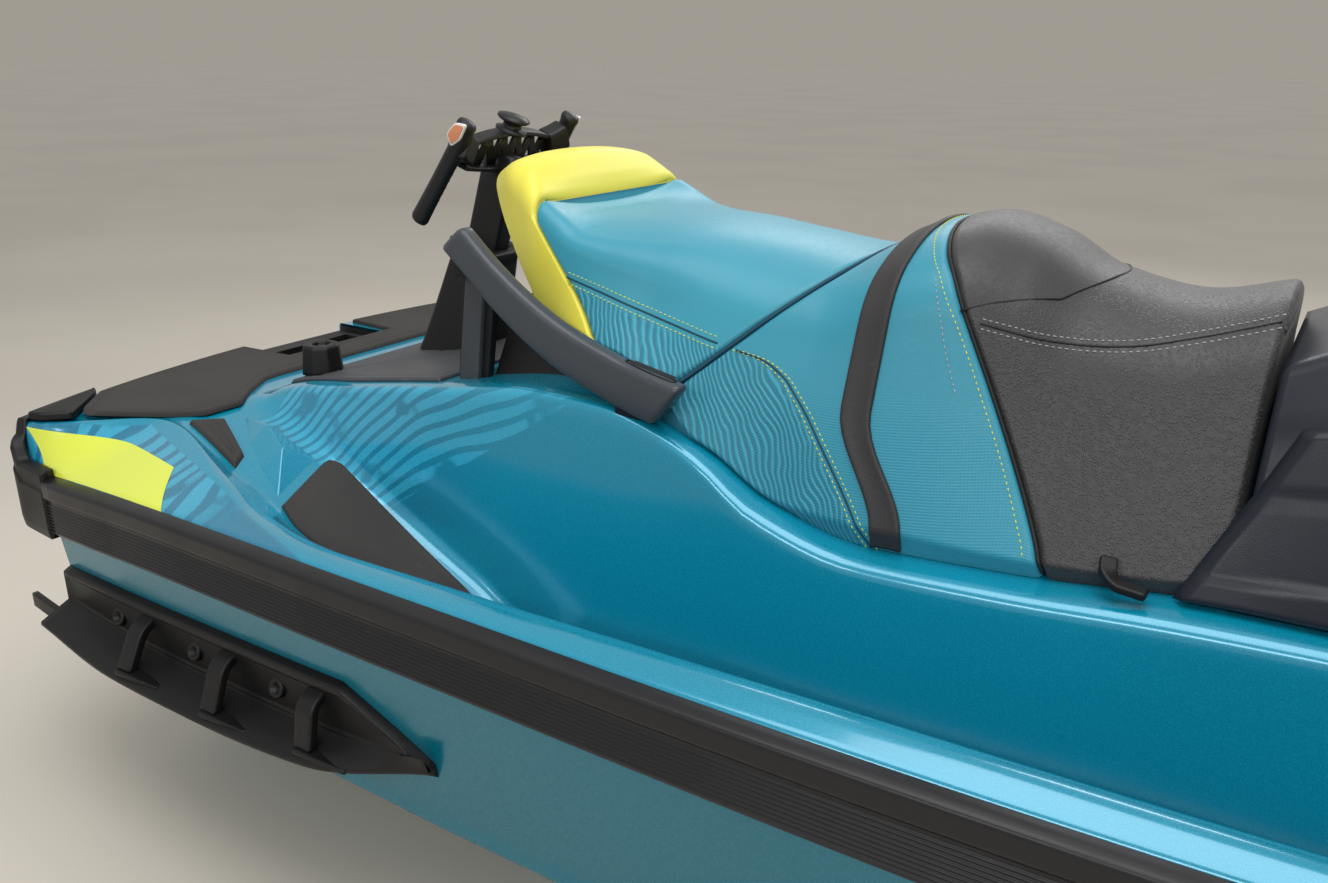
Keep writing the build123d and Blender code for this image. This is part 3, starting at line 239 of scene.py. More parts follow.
def soft_ends(points, inset):
    """Rounds both ends of a closed run of rings: two more rings each end, drawn in towards the
    ring's middle on a quarter circle."""
    out = [points]
    for end, before in ((0, 1), (-1, -2)):
        middle = points[end].mean(axis=0)
        way = unit(middle - points[before].mean(axis=0))
        reach = np.linalg.norm(points[end] - middle, axis=-1).min()
        rings = []
        for turn in (pi / 4, pi / 2):
            shrink = 1 - inset * (1 - cos(turn)) / reach
            rings.append(middle + (points[end] - middle) * shrink + way * inset * sin(turn))
        out = [np.stack(rings[::-1])] + out if end == 0 else out + [np.stack(rings)]
    return np.concatenate(out)


def turned(profile, centre, axis, count=24):
    """A profile of distance along an axis and radius, revolved round that axis."""
    axis = unit(np.asarray(axis, float))
    side = unit(np.cross(axis, (0, 1, 0) if abs(axis[1]) < 0.9 else (1, 0, 0)))
    rise = np.cross(axis, side)
    profile = np.asarray(profile, float)
    turn = np.linspace(0, 2 * pi, count, endpoint=False)[:, None]
    spoke = np.cos(turn) * side + np.sin(turn) * rise
    return np.asarray(centre, float) + profile[:, None, :1] * axis + profile[:, None, 1:] * spoke


def slab(outline, low, high, edge, turn, frame_at=None):
    """A plate: its rounded outline stacked in rings from low to high, the first and last drawn in
    by the edge radius on a quarter circle. frame_at turns plan and height into boat points."""
    plan = ring(np.asarray(outline, float), turn, 3, 5)
    way = unit(np.roll(plan, -1, axis=0) - np.roll(plan, 1, axis=0))
    area = (plan[:, 0] * np.roll(plan[:, 1], -1) - plan[:, 1] * np.roll(plan[:, 0], -1)).sum()
    inward = np.column_stack((-way[:, 1], way[:, 0])) * np.sign(area)
    turns = (0, pi / 6, pi / 3, pi / 2)
    rows = [(edge * (1 - sin(a)), low + edge * (1 - cos(a))) for a in turns]
    rows += [(edge * (1 - sin(a)), high - edge * (1 - cos(a))) for a in turns[::-1]]
    points = np.stack([tier(plan + inward * inset, h) for inset, h in rows])
    return points if frame_at is None else frame_at(points)


def upright(side_y):
    """Turns a plate drawn in station and height so that its thickness runs across the boat."""
    def place(points):
        return np.stack((points[..., 0], side_y + points[..., 2], points[..., 1]), axis=-1)
    return place


def smooth_path(points, count, radius):
    """A path of count evenly spaced points through soft-cornered runs."""
    line = rounded(np.asarray(points, float), radius, 12, 10)
    run = run_of(line)
    return at_run(line, run, np.linspace(0, run[-1], count))


def piece(mesh, finish, slot, *nodes, body="craft"):
    """An object of a mesh, with its finish, the nodes it stands for and its body.
    Its record slot is not used.
    """
    made = bpy.data.objects.new(mesh.name, mesh)
    bpy.context.collection.objects.link(made)
    if not mesh.materials:
        mesh.materials.append(finish)
    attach(made, body)
    if nodes:
        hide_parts(*nodes)
    return made


def closed(name, points, finish, slot, *nodes, body="craft"):
    """A piece of closed rings with a face over each end."""
    return piece(grid(name, points, around=True, ends=True), finish, slot, *nodes, body=body)


def sheet(name, points, finish, slot, *nodes, out=(0, 0, 1), keep=None, body="craft"):
    """A piece of one open sheet that looks towards out."""
    return piece(grid(name, points, out=out, keep=keep), finish, slot, *nodes, body=body)


def both(make, name, points, finish, slot, node="", out=None, body="craft"):
    """A starboard piece, closed() or sheet(), and its port image. The braces in the names of the
    piece and of the node it stands for take the side."""
    for side, turn in SIDES:
        ways = {} if out is None else {"out": out * np.array((1, turn, 1))}
        nodes = (node.format(side),) if node else ()
        make(name.format(side), points * (1, turn, 1), finish, slot, *nodes, body=body, **ways)


def wall(made, thickness):
    """Gives an open sheet a wall, inwards from its face."""
    shell = made.modifiers.new("wall", "SOLIDIFY")
    shell.thickness = thickness / 1000
    shell.offset = -1


def dress(finish, *names):
    """Gives CAD nodes their finish."""
    for name in names:
        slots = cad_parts[name].data.materials
        slots.clear()
        slots.append(finish)


# Finishes

def add(tree, kind, settings=None, **inputs):
    """Adds a shader node. An input is a value, or the socket that feeds it; n0, n1 number them."""
    made = tree.nodes.new(kind)
    for name, value in (settings or {}).items():
        setattr(made, name, value)
    for name, value in inputs.items():
        numbered = name[0] == "n" and name[1:].isdigit()
        socket = made.inputs[int(name[1:])] if numbered else made.inputs[name.replace("_", " ")]
        if isinstance(value, bpy.types.NodeSocket):
            tree.links.new(value, socket)
        else:
            socket.default_value = value
    return made


def reckon(tree, operation, a, b=0.0, c=None):
    """A sum in the shader: an operation on two values, and a third where it takes one."""
    node = add(tree, "ShaderNodeMath", {"operation": operation}, n0=a, n1=b)
    if c is not None:
        node.inputs[2].default_value = c
    return node.outputs[0]


def ramp(tree, value, low, high):
    """A value between two limits, spread over 0 to 1 on a smooth step."""
    node = add(tree, "ShaderNodeMapRange", {"interpolation_type": "SMOOTHSTEP"},
               Value=value, From_Min=low, From_Max=high)
    return node.outputs[0]


def times(tree, value, *factors):
    """The product of a value and several factors."""
    for factor in factors:
        value = reckon(tree, "MULTIPLY", value, factor)
    return value


def plus(tree, a, b):
    """The sum of two values."""
    return reckon(tree, "ADD", a, b)


def lean(tree, a, x, b, y, c):
    """a times x, plus b times y, plus c."""
    return plus(tree, times(tree, x, a), reckon(tree, "MULTIPLY_ADD", y, b, c))


def blend(tree, share, a, b):
    """Colour a, going over to b with the share."""
    node = add(tree, "ShaderNodeMix", {"data_type": "RGBA"})
    for index, value in ((0, share), (6, a), (7, b)):
        if isinstance(value, bpy.types.NodeSocket):
            tree.links.new(value, node.inputs[index])
        else:
            node.inputs[index].default_value = (*value, 1) if index else value
    return node.outputs[2]


def effect(name, scale, *outputs):
    """An empty shader group over a vector at a scale: its tree, its inputs and its outputs."""
    tree = bpy.data.node_groups.new(name, "ShaderNodeTree")
    tree.interface.new_socket("Vector", in_out="INPUT", socket_type="NodeSocketVector")
    socket = tree.interface.new_socket("Scale", in_out="INPUT", socket_type="NodeSocketFloat")
    socket.default_value = scale
    for label in outputs:
        tree.interface.new_socket(label, in_out="OUTPUT", socket_type="NodeSocketFloat")
    return tree, tree.nodes.new("NodeGroupInput").outputs, tree.nodes.new("NodeGroupOutput").inputs


def make_grain():
    """Leather grain: the edges of small cells, softened by a finer noise."""
    tree, given, put = effect("grain", 400, "Height", "Mask")
    cells = add(tree, "ShaderNodeTexVoronoi", {"feature": "SMOOTH_F1"},
                Vector=given["Vector"], Scale=given["Scale"])
    slower = times(tree, given["Scale"], 0.35)
    fine = add(tree, "ShaderNodeTexNoise", Vector=given["Vector"], Scale=slower, Detail=3.0)
    height = plus(tree, cells.outputs["Distance"], times(tree, fine.outputs[0], 0.6))
    tree.links.new(height, put["Height"])
    tree.links.new(ramp(tree, fine.outputs[0], 0.35, 0.65), put["Mask"])
    return tree


def make_scuffs():
    """Wear and dust: thin scratches out of a stretched noise, and broad cloudy patches."""
    tree, given, put = effect("scuffs", 12, "Scratches", "Clouds")
    long = add(tree, "ShaderNodeMapping", Vector=given["Vector"], Scale=(1, 16, 1), Rotation=(0.3, 0.2, 0.9))
    lines = add(tree, "ShaderNodeTexNoise", Vector=long.outputs[0], Scale=given["Scale"],
                Detail=6.0, Roughness=0.7)
    slower = times(tree, given["Scale"], 0.35)
    clouds = add(tree, "ShaderNodeTexNoise", Vector=given["Vector"], Scale=slower, Detail=4.0)
    tree.links.new(ramp(tree, lines.outputs[0], 0.62, 0.72), put["Scratches"])
    tree.links.new(ramp(tree, clouds.outputs[0], 0.4, 0.65), put["Clouds"])
    return tree


def make_weave():
    """Diagonal weave: two sine waves over the surface map, crossed at right angles."""
    tree, given, put = effect("weave", 900, "Height")
    slanted = add(tree, "ShaderNodeMapping", Vector=given["Vector"], Rotation=(0, 0, 0.9))
    apart = add(tree, "ShaderNodeSeparateXYZ", Vector=slanted.outputs[0])
    one = reckon(tree, "SINE", times(tree, apart.outputs[0], given["Scale"]))
    two = reckon(tree, "SINE", times(tree, apart.outputs[1], given["Scale"]))
    tree.links.new(times(tree, one, two), put["Height"])
    return tree


GRAIN = make_grain()
SCUFFS = make_scuffs()
WEAVE = make_weave()


def use(tree, group, vector, scale):
    """The outputs of a shader group laid over a vector at a scale."""
    node = tree.nodes.new("ShaderNodeGroup")
    node.node_tree = group
    tree.links.new(vector, node.inputs["Vector"])
    node.inputs["Scale"].default_value = scale
    return node.outputs


def new_finish(name, colour, roughness, metallic=0.0, **values):
    """A material with plain values on its shader: its tree, its shader and the object's coordinates."""
    made = bpy.data.materials.new(name)
    made.use_nodes = True
    made.diffuse_color = (*colour, 1)
    tree = made.node_tree
    shader = tree.nodes["Principled BSDF"]
    shader.inputs["Base Color"].default_value = (*colour, 1)
    shader.inputs["Roughness"].default_value = roughness
    shader.inputs["Metallic"].default_value = metallic
    for label, value in values.items():
        shader.inputs[label.replace("_", " ")].default_value = value
    where = tree.nodes.new("ShaderNodeTexCoord").outputs["Object"]
    return made, tree, shader, where


def bump(tree, shader, height, strength, distance):
    """Tilts a shader's normal by a height, at a strength and a depth in metres."""
    node = add(tree, "ShaderNodeBump", Height=height, Strength=strength, Distance=distance)
    tree.links.new(node.outputs[0], shader.inputs["Normal"])


def feed(tree, socket, shader, name):
    """Wires a socket into a named input of a shader."""
    tree.links.new(socket, shader.inputs[name])


def shade(colour, factor, more=0.0):
    """A colour made lighter or darker by a factor, and paler by what is added."""
    return tuple(min(1, c * factor + more) for c in colour)


def plastic(name, colour, roughness=0.4, grain=700, depth=0.15, worn=0.25, metallic=0.0):
    """Moulded plastic or rubber: a fine grain, cloudy dust in its roughness, and paler scuffs."""
    made, tree, shader, where = new_finish(name, colour, roughness, metallic, Specular_IOR_Level=0.32)
    fine = use(tree, GRAIN, where, grain)
    wear = use(tree, SCUFFS, where, 14)
    share = times(tree, wear["Scratches"], worn)
    feed(tree, blend(tree, share, colour, shade(colour, 1.9, 0.03)), shader, "Base Color")
    feed(tree, plus(tree, times(tree, wear["Clouds"], 0.14), roughness - 0.05), shader, "Roughness")
    bump(tree, shader, fine["Height"], depth, 0.0006)
    return made


WAVE_PITCH, WAVE_LEAN, WAVE_BEND = 0.0078, 0.52, 0.062
# Painted shade for the grooves between the seat's raised wave lines.
WAVE_SHADE = (0.003, 0.085, 0.135)


def vinyl(name, colour, roughness=0.42, grain=620, depth=0.25, weave=0.0, waves="", speckle=""):
    """Marine vinyl: grain or weave in its bump, and colour that varies a little in broad clouds.
    Where it is woven, the raised threads are painted lighter: a painted highlight.
    Where waves names a mask, raised lines lean back down the panel: a sine over the station and
    about half the height, bent by a slow noise; their grooves are painted darker, painted shade,
    and their crests lighter, a painted highlight. Where speckle does, hard pips stand up instead,
    each painted lighter on top: a painted highlight."""
    made, tree, shader, where = new_finish(name, colour, roughness,
                                           Specular_IOR_Level=0.45, Sheen_Weight=0.08)
    surface = tree.nodes.new("ShaderNodeUVMap")
    surface.uv_map = "surface"
    fine = use(tree, GRAIN, where, grain)
    wear = use(tree, SCUFFS, where, 7)
    tint = blend(tree, times(tree, wear["Clouds"], 0.6), colour, shade(colour, 0.86))
    height = times(tree, fine["Height"], 0.12 if waves else 1.0)
    if weave:
        cloth = use(tree, WEAVE, surface.outputs[0], weave)
        low = add(tree, "ShaderNodeSeparateXYZ", Vector=where).outputs[2]
        share = ramp(tree, low, 0.47, 0.40)
        height = plus(tree, height, times(tree, cloth["Height"], share, 0.30))
        # Painted highlight: the weave's raised threads are mixed towards a lighter colour.
        thread_highlight = times(tree, ramp(tree, cloth["Height"], 0.1, 0.9), share, 0.30)
        tint = blend(tree, thread_highlight, tint, shade(colour, 1.25))
    if waves:
        mask = add(tree, "ShaderNodeAttribute", {"attribute_name": waves}).outputs["Fac"]
        apart = add(tree, "ShaderNodeSeparateXYZ", Vector=where)
        slow = add(tree, "ShaderNodeTexNoise", Vector=where, Scale=10.0, Detail=2.5, Roughness=0.45)
        run = lean(tree, 1.0, apart.outputs[0], WAVE_LEAN, apart.outputs[2], 0.0)
        bent = plus(tree, run, times(tree, slow.outputs[0], WAVE_BEND))
        wave = reckon(tree, "SINE", times(tree, bent, 2 * pi / WAVE_PITCH))
        raised = ramp(tree, wave, -0.35, 0.95)
        height = plus(tree, height, times(tree, raised, mask, 1.7))
        # Painted shade in the grooves and a painted highlight on the crests of the wave lines.
        groove = times(tree, ramp(tree, wave, 0.1, -0.7), mask, 0.55)
        crest = times(tree, ramp(tree, wave, 0.5, 1.0), mask, 0.35)
        tint = blend(tree, crest, tint, shade(colour, 1.5))
        tint = blend(tree, groove, tint, WAVE_SHADE)
        depth *= 2.4
    if speckle:
        mask = add(tree, "ShaderNodeAttribute", {"attribute_name": speckle}).outputs["Fac"]
        pips = add(tree, "ShaderNodeTexVoronoi", {"feature": "F1"}, Vector=where, Scale=300.0)
        pip = times(tree, ramp(tree, pips.outputs["Distance"], 0.42, 0.22), mask)
        height = plus(tree, times(tree, height, 0.4), times(tree, pip, 1.4))
        # Painted highlight: the top of each pip is painted lighter.
        tint = blend(tree, times(tree, pip, 0.35), tint, shade(colour, 2.2, 0.02))
    feed(tree, tint, shader, "Base Color")
    feed(tree, plus(tree, times(tree, fine["Mask"], 0.08), roughness - 0.04), shader, "Roughness")
    bump(tree, shader, height, depth, 0.0009)
    return made


def metal(name, colour, roughness=0.3):
    """Brushed metal: stretched scratches vary its roughness and lift it a little."""
    made, tree, shader, where = new_finish(name, colour, roughness, 1.0)
    wear = use(tree, SCUFFS, where, 40)
    feed(tree, plus(tree, times(tree, wear["Scratches"], 0.2), roughness - 0.05), shader, "Roughness")
    bump(tree, shader, wear["Scratches"], 0.08, 0.0004)
    return made


TEAL = (0.001, 0.245, 0.385)
TEAL_LIGHT = (0.010, 0.40, 0.56)
TEAL_DEEP = (0.001, 0.135, 0.205)
PRINT = (0.004, 0.165, 0.290)
PRINT_PALE = (0.030, 0.400, 0.600)
# Painted shade: the undecorated hull's paint is darkened towards this deep teal.
TEAL_SHADE = (0.001, 0.075, 0.095)
FILM, FILM_PALE, FILM_DEEP = (0.62, 0.70, 0.045), (0.66, 0.74, 0.06), (0.56, 0.64, 0.05)
BAND_FOOT, BAND_DECAY, BAND_RISE = -1.16, 0.355, 0.426
SIDE_PITCH, PANEL_PITCH = 0.026, 0.034


def bands(tree, run, period, wander, amount):
    """Pale bands with thinner gaps: a sine over a run of lengths that a slow noise bends."""
    bent = plus(tree, run, times(tree, wander, amount))
    wave = reckon(tree, "SINE", times(tree, bent, 2 * pi / period))
    return ramp(tree, wave, -0.5, -0.22)


def gelcoat(name, decorated):
    """Metallic gelcoat under clear coat: fine flakes lighten the colour. Where the craft is
    decorated, the pedestal's side and the panel outside the ramp are a bluer print with pale
    bands. On the pedestal the bands lean forward and flatten, because they follow height plus
    an exponential of the station; on the outer panel they stand upright. Where it is not
    decorated, as on the hull, the paint is pulled more than half way to a deep teal: painted shade."""
    coat = 0.9 if decorated else 0.3
    made, tree, shader, where = new_finish(name, TEAL, 0.24, 0.2, Coat_Weight=coat, Coat_Roughness=0.09)
    flake = add(tree, "ShaderNodeTexVoronoi", {"feature": "F1"}, Vector=where, Scale=1500.0)
    spark = ramp(tree, flake.outputs["Color"], 0.25, 0.95)
    wear = use(tree, SCUFFS, where, 3)
    paint = blend(tree, times(tree, spark, 0.28), TEAL, TEAL_LIGHT)
    paint = blend(tree, times(tree, wear["Clouds"], 0.12), paint, TEAL_DEEP)
    if decorated:
        apart = add(tree, "ShaderNodeSeparateXYZ", Vector=where)
        x, z = apart.outputs[0], apart.outputs[2]
        y = reckon(tree, "ABSOLUTE", apart.outputs[1])
        wander = add(tree, "ShaderNodeTexNoise", Vector=where, Scale=5.5, Detail=1.0).outputs[0]
        narrow = ramp(tree, add(tree, "ShaderNodeTexNoise", Vector=where, Scale=16.0).outputs[0], 0.36, 0.46)
        ahead = reckon(tree, "MULTIPLY_ADD", x, -1 / BAND_DECAY, BAND_FOOT / BAND_DECAY)
        run = plus(tree, z, times(tree, reckon(tree, "EXPONENT", ahead), BAND_RISE))
        inner = times(tree, ramp(tree, y, 0.350, 0.340), ramp(tree, y, 0.270, 0.274),
                      ramp(tree, x, -0.62, -0.70), ramp(tree, z, 0.165, 0.19), ramp(tree, x, -1.262, -1.255))
        slant = ramp(tree, lean(tree, -0.673, x, 1.0, z, -0.862), 0.0, 0.003)
        stripe = times(tree, bands(tree, run, SIDE_PITCH, wander, 0.055), narrow, slant, inner)
        outer = times(tree, ramp(tree, lean(tree, -0.281, x, 1.0, y, -0.838), 0.0, 0.002),
                      ramp(tree, lean(tree, 0.653, x, 1.0, y, 0.424), 0.002, 0.004),
                      ramp(tree, x, -0.84, -0.85), ramp(tree, z, 0.2, 0.206))
        tall = times(tree, bands(tree, x, PANEL_PITCH, wander, 0.11), narrow, outer,
                     ramp(tree, x, -1.0, -1.12))
        under = times(tree, inner, ramp(tree, x, -0.78, -0.98), 0.6)
        under = reckon(tree, "MAXIMUM", under, times(tree, outer, 0.85))
        paint = blend(tree, under, paint, PRINT)
        paint = blend(tree, times(tree, stripe, 0.8), paint, PRINT_PALE)
        paint = blend(tree, times(tree, tall, 0.8), paint, PRINT_PALE)
    else:
        # Painted shade: the hull's whole paint is darkened by more than half.
        paint = blend(tree, 0.55, paint, TEAL_SHADE)
    feed(tree, paint, shader, "Base Color")
    feed(tree, plus(tree, times(tree, spark, 0.12), 0.2), shader, "Roughness")
    return made


def patch_film():
    """Plain yellow film with a faint cloud in it, under a clear coat."""
    made, tree, shader, where = new_finish("yellow_film", FILM, 0.3, Coat_Weight=0.8, Coat_Roughness=0.05)
    wear = use(tree, SCUFFS, where, 5)
    feed(tree, blend(tree, times(tree, wear["Clouds"], 0.2), FILM_PALE, FILM_DEEP), shader, "Base Color")
    return made


def foam(name, colour):
    """Foam mat: pitted skin in the bump, dull with pale scratches and worn clouds."""
    made, tree, shader, where = new_finish(name, colour, 0.85, Specular_IOR_Level=0.2)
    pits = use(tree, GRAIN, where, 900)
    wear = use(tree, SCUFFS, where, 22)
    worn = blend(tree, times(tree, wear["Clouds"], 0.35), colour, shade(colour, 0.7))
    scratched = blend(tree, times(tree, wear["Scratches"], 0.5), worn, shade(colour, 2.0, 0.02))
    feed(tree, scratched, shader, "Base Color")
    bump(tree, shader, pits["Height"], 0.4, 0.0008)
    return made


HULL_PAINT = gelcoat("hull_gelcoat", False)
DECK_PAINT = gelcoat("deck_gelcoat", True)
GRAB_GREY = plastic("grab_plastic", (0.055, 0.062, 0.072), 0.27, 800, 0.15)
RAIL_RUBBER = plastic("rail_rubber", (0.011, 0.011, 0.013), 0.36, 900, 0.08, 0.12)
BLACK = plastic("black_plastic", (0.006, 0.006, 0.0065), 0.44, 700, 0.3, 0.12)
DARK_GREY = plastic("panel_plastic", (0.055, 0.058, 0.064), 0.55, 420, 0.5)
NAVY = plastic("console_plastic", (0.010, 0.012, 0.020), 0.32, 900, 0.1, 0.12)
MAT = foam("foam_mat", (0.048, 0.045, 0.043))
YELLOW_FILM = patch_film()
SEAT_YELLOW = vinyl("seat_yellow", (0.78, 0.71, 0.075), 0.4, 700, 0.1)
SEAT_TEAL = vinyl("seat_teal", (0.026, 0.270, 0.375), 0.4, 560, 0.22, 0.0, "panel")
SEAT_WOVEN = vinyl("seat_teal_woven", (0.022, 0.250, 0.350), 0.42, 560, 0.22, 1500, "panel")
SEAT_BLACK = vinyl("seat_black", (0.024, 0.023, 0.024), 0.46, 480, 0.45, 0.0, "", "panel")
# Painted shade: darker teal and black for the cords in the seat's seams and the grab slot's floor.
SEAM_SHADE_TEAL = plastic("seam_shade_teal", (0.004, 0.050, 0.085), 0.5, 900, 0.1, 0.0)
SHADE_BLACK = plastic("shade_black", (0.012, 0.012, 0.013), 0.5, 900, 0.1, 0.0)
REFLECTOR = plastic("reflector", (0.62, 0.24, 0.12), 0.18, 260, 0.5, 0.0)
BEZEL = plastic("reflector_edge", (0.72, 0.71, 0.70), 0.35, 900, 0.1, 0.0)
WEB = plastic("strap_web", (0.030, 0.028, 0.030), 0.5, 500, 0.3)
ALLOY_BLACK = plastic("pylon_alloy", (0.010, 0.010, 0.011), 0.4, 800, 0.15)
GRIP = plastic("grip_rubber", (0.014, 0.014, 0.015), 0.7, 500, 0.5)
GLASS = metal("mirror_glass", (0.75, 0.78, 0.8), 0.06)
PUMP_METAL = metal("pump_alloy", (0.42, 0.43, 0.45), 0.4)
IMPELLER_METAL = metal("impeller_steel", (0.60, 0.61, 0.62), 0.22)
ENGINE_PAINT = plastic("engine_block", (0.05, 0.05, 0.055), 0.5, 200, 0.3, 0.1, 0.5)
EYE_METAL = metal("eye_steel", (0.66, 0.67, 0.68), 0.2)
SCREEN = plastic("gauge_glass", (0.004, 0.005, 0.007), 0.08, 900, 0.0, 0.0)
THREAD_YELLOW = plastic("thread_yellow", (0.62, 0.66, 0.10), 0.7, 900, 0.1, 0.0)
THREAD_GREY = plastic("thread_grey", (0.36, 0.36, 0.35), 0.7, 900, 0.1, 0.0)


# Lines of the boat

# Station, keel height, chine half-breadth and height, flange half-breadth, rub rail height
HULL_ROWS = np.array((
    (0, 0, 0.860, 200, 0.930, 486), (150, 0, 0.869, 205, 0.951, 492),
    (450, 0, 0.885, 210, 0.978, 511), (900, 0, 0.896, 218, 0.995, 523),
    (1400, 0, 0.893, 228, 1.000, 532), (1900, 2, 0.861, 248, 0.990, 549),
    (2300, 14, 0.800, 285, 0.947, 573), (2650, 48, 0.690, 335, 0.864, 595),
    (2950, 112, 0.537, 395, 0.735, 615), (3190, 210, 0.360, 462, 0.555, 631),
    (3351, 330, 0.190, 520, 0.345, 642), (3430, 445, 0.070, 572, 0.150, 648),
)) * (1, 1, HALF_BEAM, 1, HALF_BEAM, 1)
CREASE = (
    (0, 566, 556), (90, 561, 558), (266, 446, 560), (491, 520, 541), (597, 556, 528), (753, 576, 526),
    (876, 575, 529), (1322, 572, 543), (1706, 572, 557), (2150, 555, 580), (2500, 505, 600), (2950, 385, 625),
    (3190, 270, 640), (3351, 160, 652), (3430, 62, 656),
)
FLOOR_OUTER = (
    (0, 430, 560), (266, 424, 560), (300, 440, 556), (450, 468, 512), (600, 476, 450), (753, 480, 386),
    (860, 482, 345), (2080, 466, 351), (2190, 450, 566), (2500, 410, 622), (2950, 280, 648), (3190, 180, 655),
    (3351, 100, 660), (3430, 45, 660),
)
FLOOR_INNER = (
    (0, 300, 560), (290, 302, 560), (300, 305, 556), (450, 318, 512), (600, 322, 450), (753, 328, 386),
    (860, 334, 345), (2080, 326, 351), (2190, 320, 600), (2500, 330, 668), (2950, 236, 672), (3190, 140, 668),
    (3351, 74, 664), (3430, 34, 662),
)
RIDGE = (
    (0, 280, 560), (290, 280, 560), (305, 280, 571), (480, 280, 605), (683, 280, 639), (842, 280, 661),
    (938, 280, 659), (1000, 282, 648), (1085, 288, 621), (1165, 290, 577), (1291, 290, 548), (1444, 290, 556),
    (1630, 290, 574), (2150, 290, 604), (2500, 300, 700), (2950, 205, 694), (3190, 112, 678), (3351, 52, 668),
    (3430, 26, 664),
)
# Lengths that several pieces share
SIDE_INSET = 22
SIDE_DROP = 45
STERN_EDGE = 9
STERN_BULGE = 1813
TUNNEL_FRONT, TUNNEL_HALF = 1045, 147
GAP_FRONT, GAP_HALF = 130, 112
HATCH_AFT, HATCH_FRONT, HATCH_HALF = 2280, 2900, 170
WELL_AFT, WELL_FRONT, WELL_HALF = 405, 500, 40
BEND_FRONT = 300
EDGE_RADIUS, EDGE_FOOT = 7, 441
PLATFORM = 560
LEDGE_LIFT = 3
SKIN_PROUD = 1.5


def pairs(*columns):
    """Corner points of half-breadth and height, stacked from columns of the same shape."""
    return np.stack([np.stack(np.broadcast_arrays(*c), axis=-1) for c in columns], axis=-2)


def both_halves(half):
    """A half profile from outside to the middle line, with its mirror image after it."""
    return np.concatenate((half * (-1, 1), half[..., -2::-1, :]), axis=-2)


def with_station(stations, profile):
    """Profiles across the boat as points in space, one row for each station."""
    s = np.broadcast_to(np.asarray(stations, float)[:, None], profile.shape[:-1])
    return np.concatenate((s[..., None], profile), axis=-1)


def hull_line(s):
    """Keel height, chine, side and rail at stations; the side is the flange less its inset."""
    keel, chine, chine_height, flange, rail = np.moveaxis(line_at(HULL_ROWS, s), -1, 0)
    return keel, chine, chine_height, flange - SIDE_INSET, rail


# Hull and deck

def make_hull_skin():
    """The hull's outside a little proud of its solid: keel, strake, chine and side at each
    station, mirrored, with the pump tunnel and intake left open below."""
    runs = ((150, TUNNEL_FRONT, 40), (TUNNEL_FRONT, 2300, 50), (2300, LENGTH, 70))
    s = np.unique(np.concatenate([np.linspace(*run) for run in runs]))
    keel, chine, chine_height, side, rail = hull_line(s)
    rise = chine_height - 24 - keel
    near = np.minimum(148, chine * 0.3)
    half = pairs((side, rail - SIDE_DROP), (chine, chine_height), (chine, chine_height - 24),
                 (chine * 0.936, keel + rise * 0.97), (chine * 0.5, keel + rise * 0.45),
                 (chine * 0.46, keel + rise * 0.46), (near, keel + rise * near / chine))
    middle = pairs((chine * 0, keel))
    corners = np.concatenate((half * (-1, 1), middle, half[:, ::-1]), axis=-2)
    profile = rounded(corners, [7, 7, 6, 5, 5, 0, 20, 0, 5, 5, 6, 7, 7], 5, 4)
    points = with_station(s, profile)
    points -= facing(points) * SKIN_PROUD
    cell_s = (s[:-1] + s[1:]) / 2
    cell_y = np.abs(profile[:-1, :-1, 0] + profile[1:, 1:, 0]) / 2
    keep = (cell_s[:, None] > TUNNEL_FRONT) | (cell_y > TUNNEL_HALF)
    return grid("hull_skin", points, keep=keep, out=(0, 0, -1))


def deck_corners(s):
    """The deck's profile from flange to flange, at stations of any shape."""
    side, rail = hull_line(s)[3:]
    lines = (CREASE, FLOOR_OUTER, FLOOR_INNER, RIDGE)
    crease, outer, inner, ridge = (np.moveaxis(line_at(rows, s), -1, 0) for rows in lines)
    lip = np.minimum(26, (crease[0] - outer[0]) * 0.3)
    ledge = ridge[0] - np.minimum(22, ridge[0] * 0.5)
    top = ridge[1] + np.where(s > BEND_FRONT, LEDGE_LIFT, 0)
    proud = 10 * step_up(s, 1040, 1180) * step_up(2080 - s, 0, 480)
    half = pairs((side, rail - SIDE_DROP), (side, rail + 2), crease,
                 (crease[0] - lip, crease[1] - lip * 0.3), outer, inner, (ridge[0] + proud, ridge[1]),
                 (ledge, top), (np.minimum(HATCH_HALF, ledge * 0.8), top),
                 (np.minimum(GAP_HALF, ledge * 0.5), top))
    return np.concatenate((half * (-1, 1), half[..., ::-1, :]), axis=-2)


DECK_RADII = [8, 24, 14, 26, 24, 16, 6, 0, 0, 0, 0, 6, 16, 24, 26, 14, 24, 8]


def cell_middles(points):
    """Station, half-breadth and height in the middle of each cell of a grid."""
    middle = (points[:-1, :-1] + points[1:, 1:]) / 2
    return middle[..., 0], np.abs(middle[..., 1]), middle[..., 2]


def stern_arc(breadth):
    """Station of the platform's rounded aft edge at a half-breadth."""
    return STERN_EDGE + STERN_BULGE - np.sqrt(STERN_BULGE**2 - breadth**2)


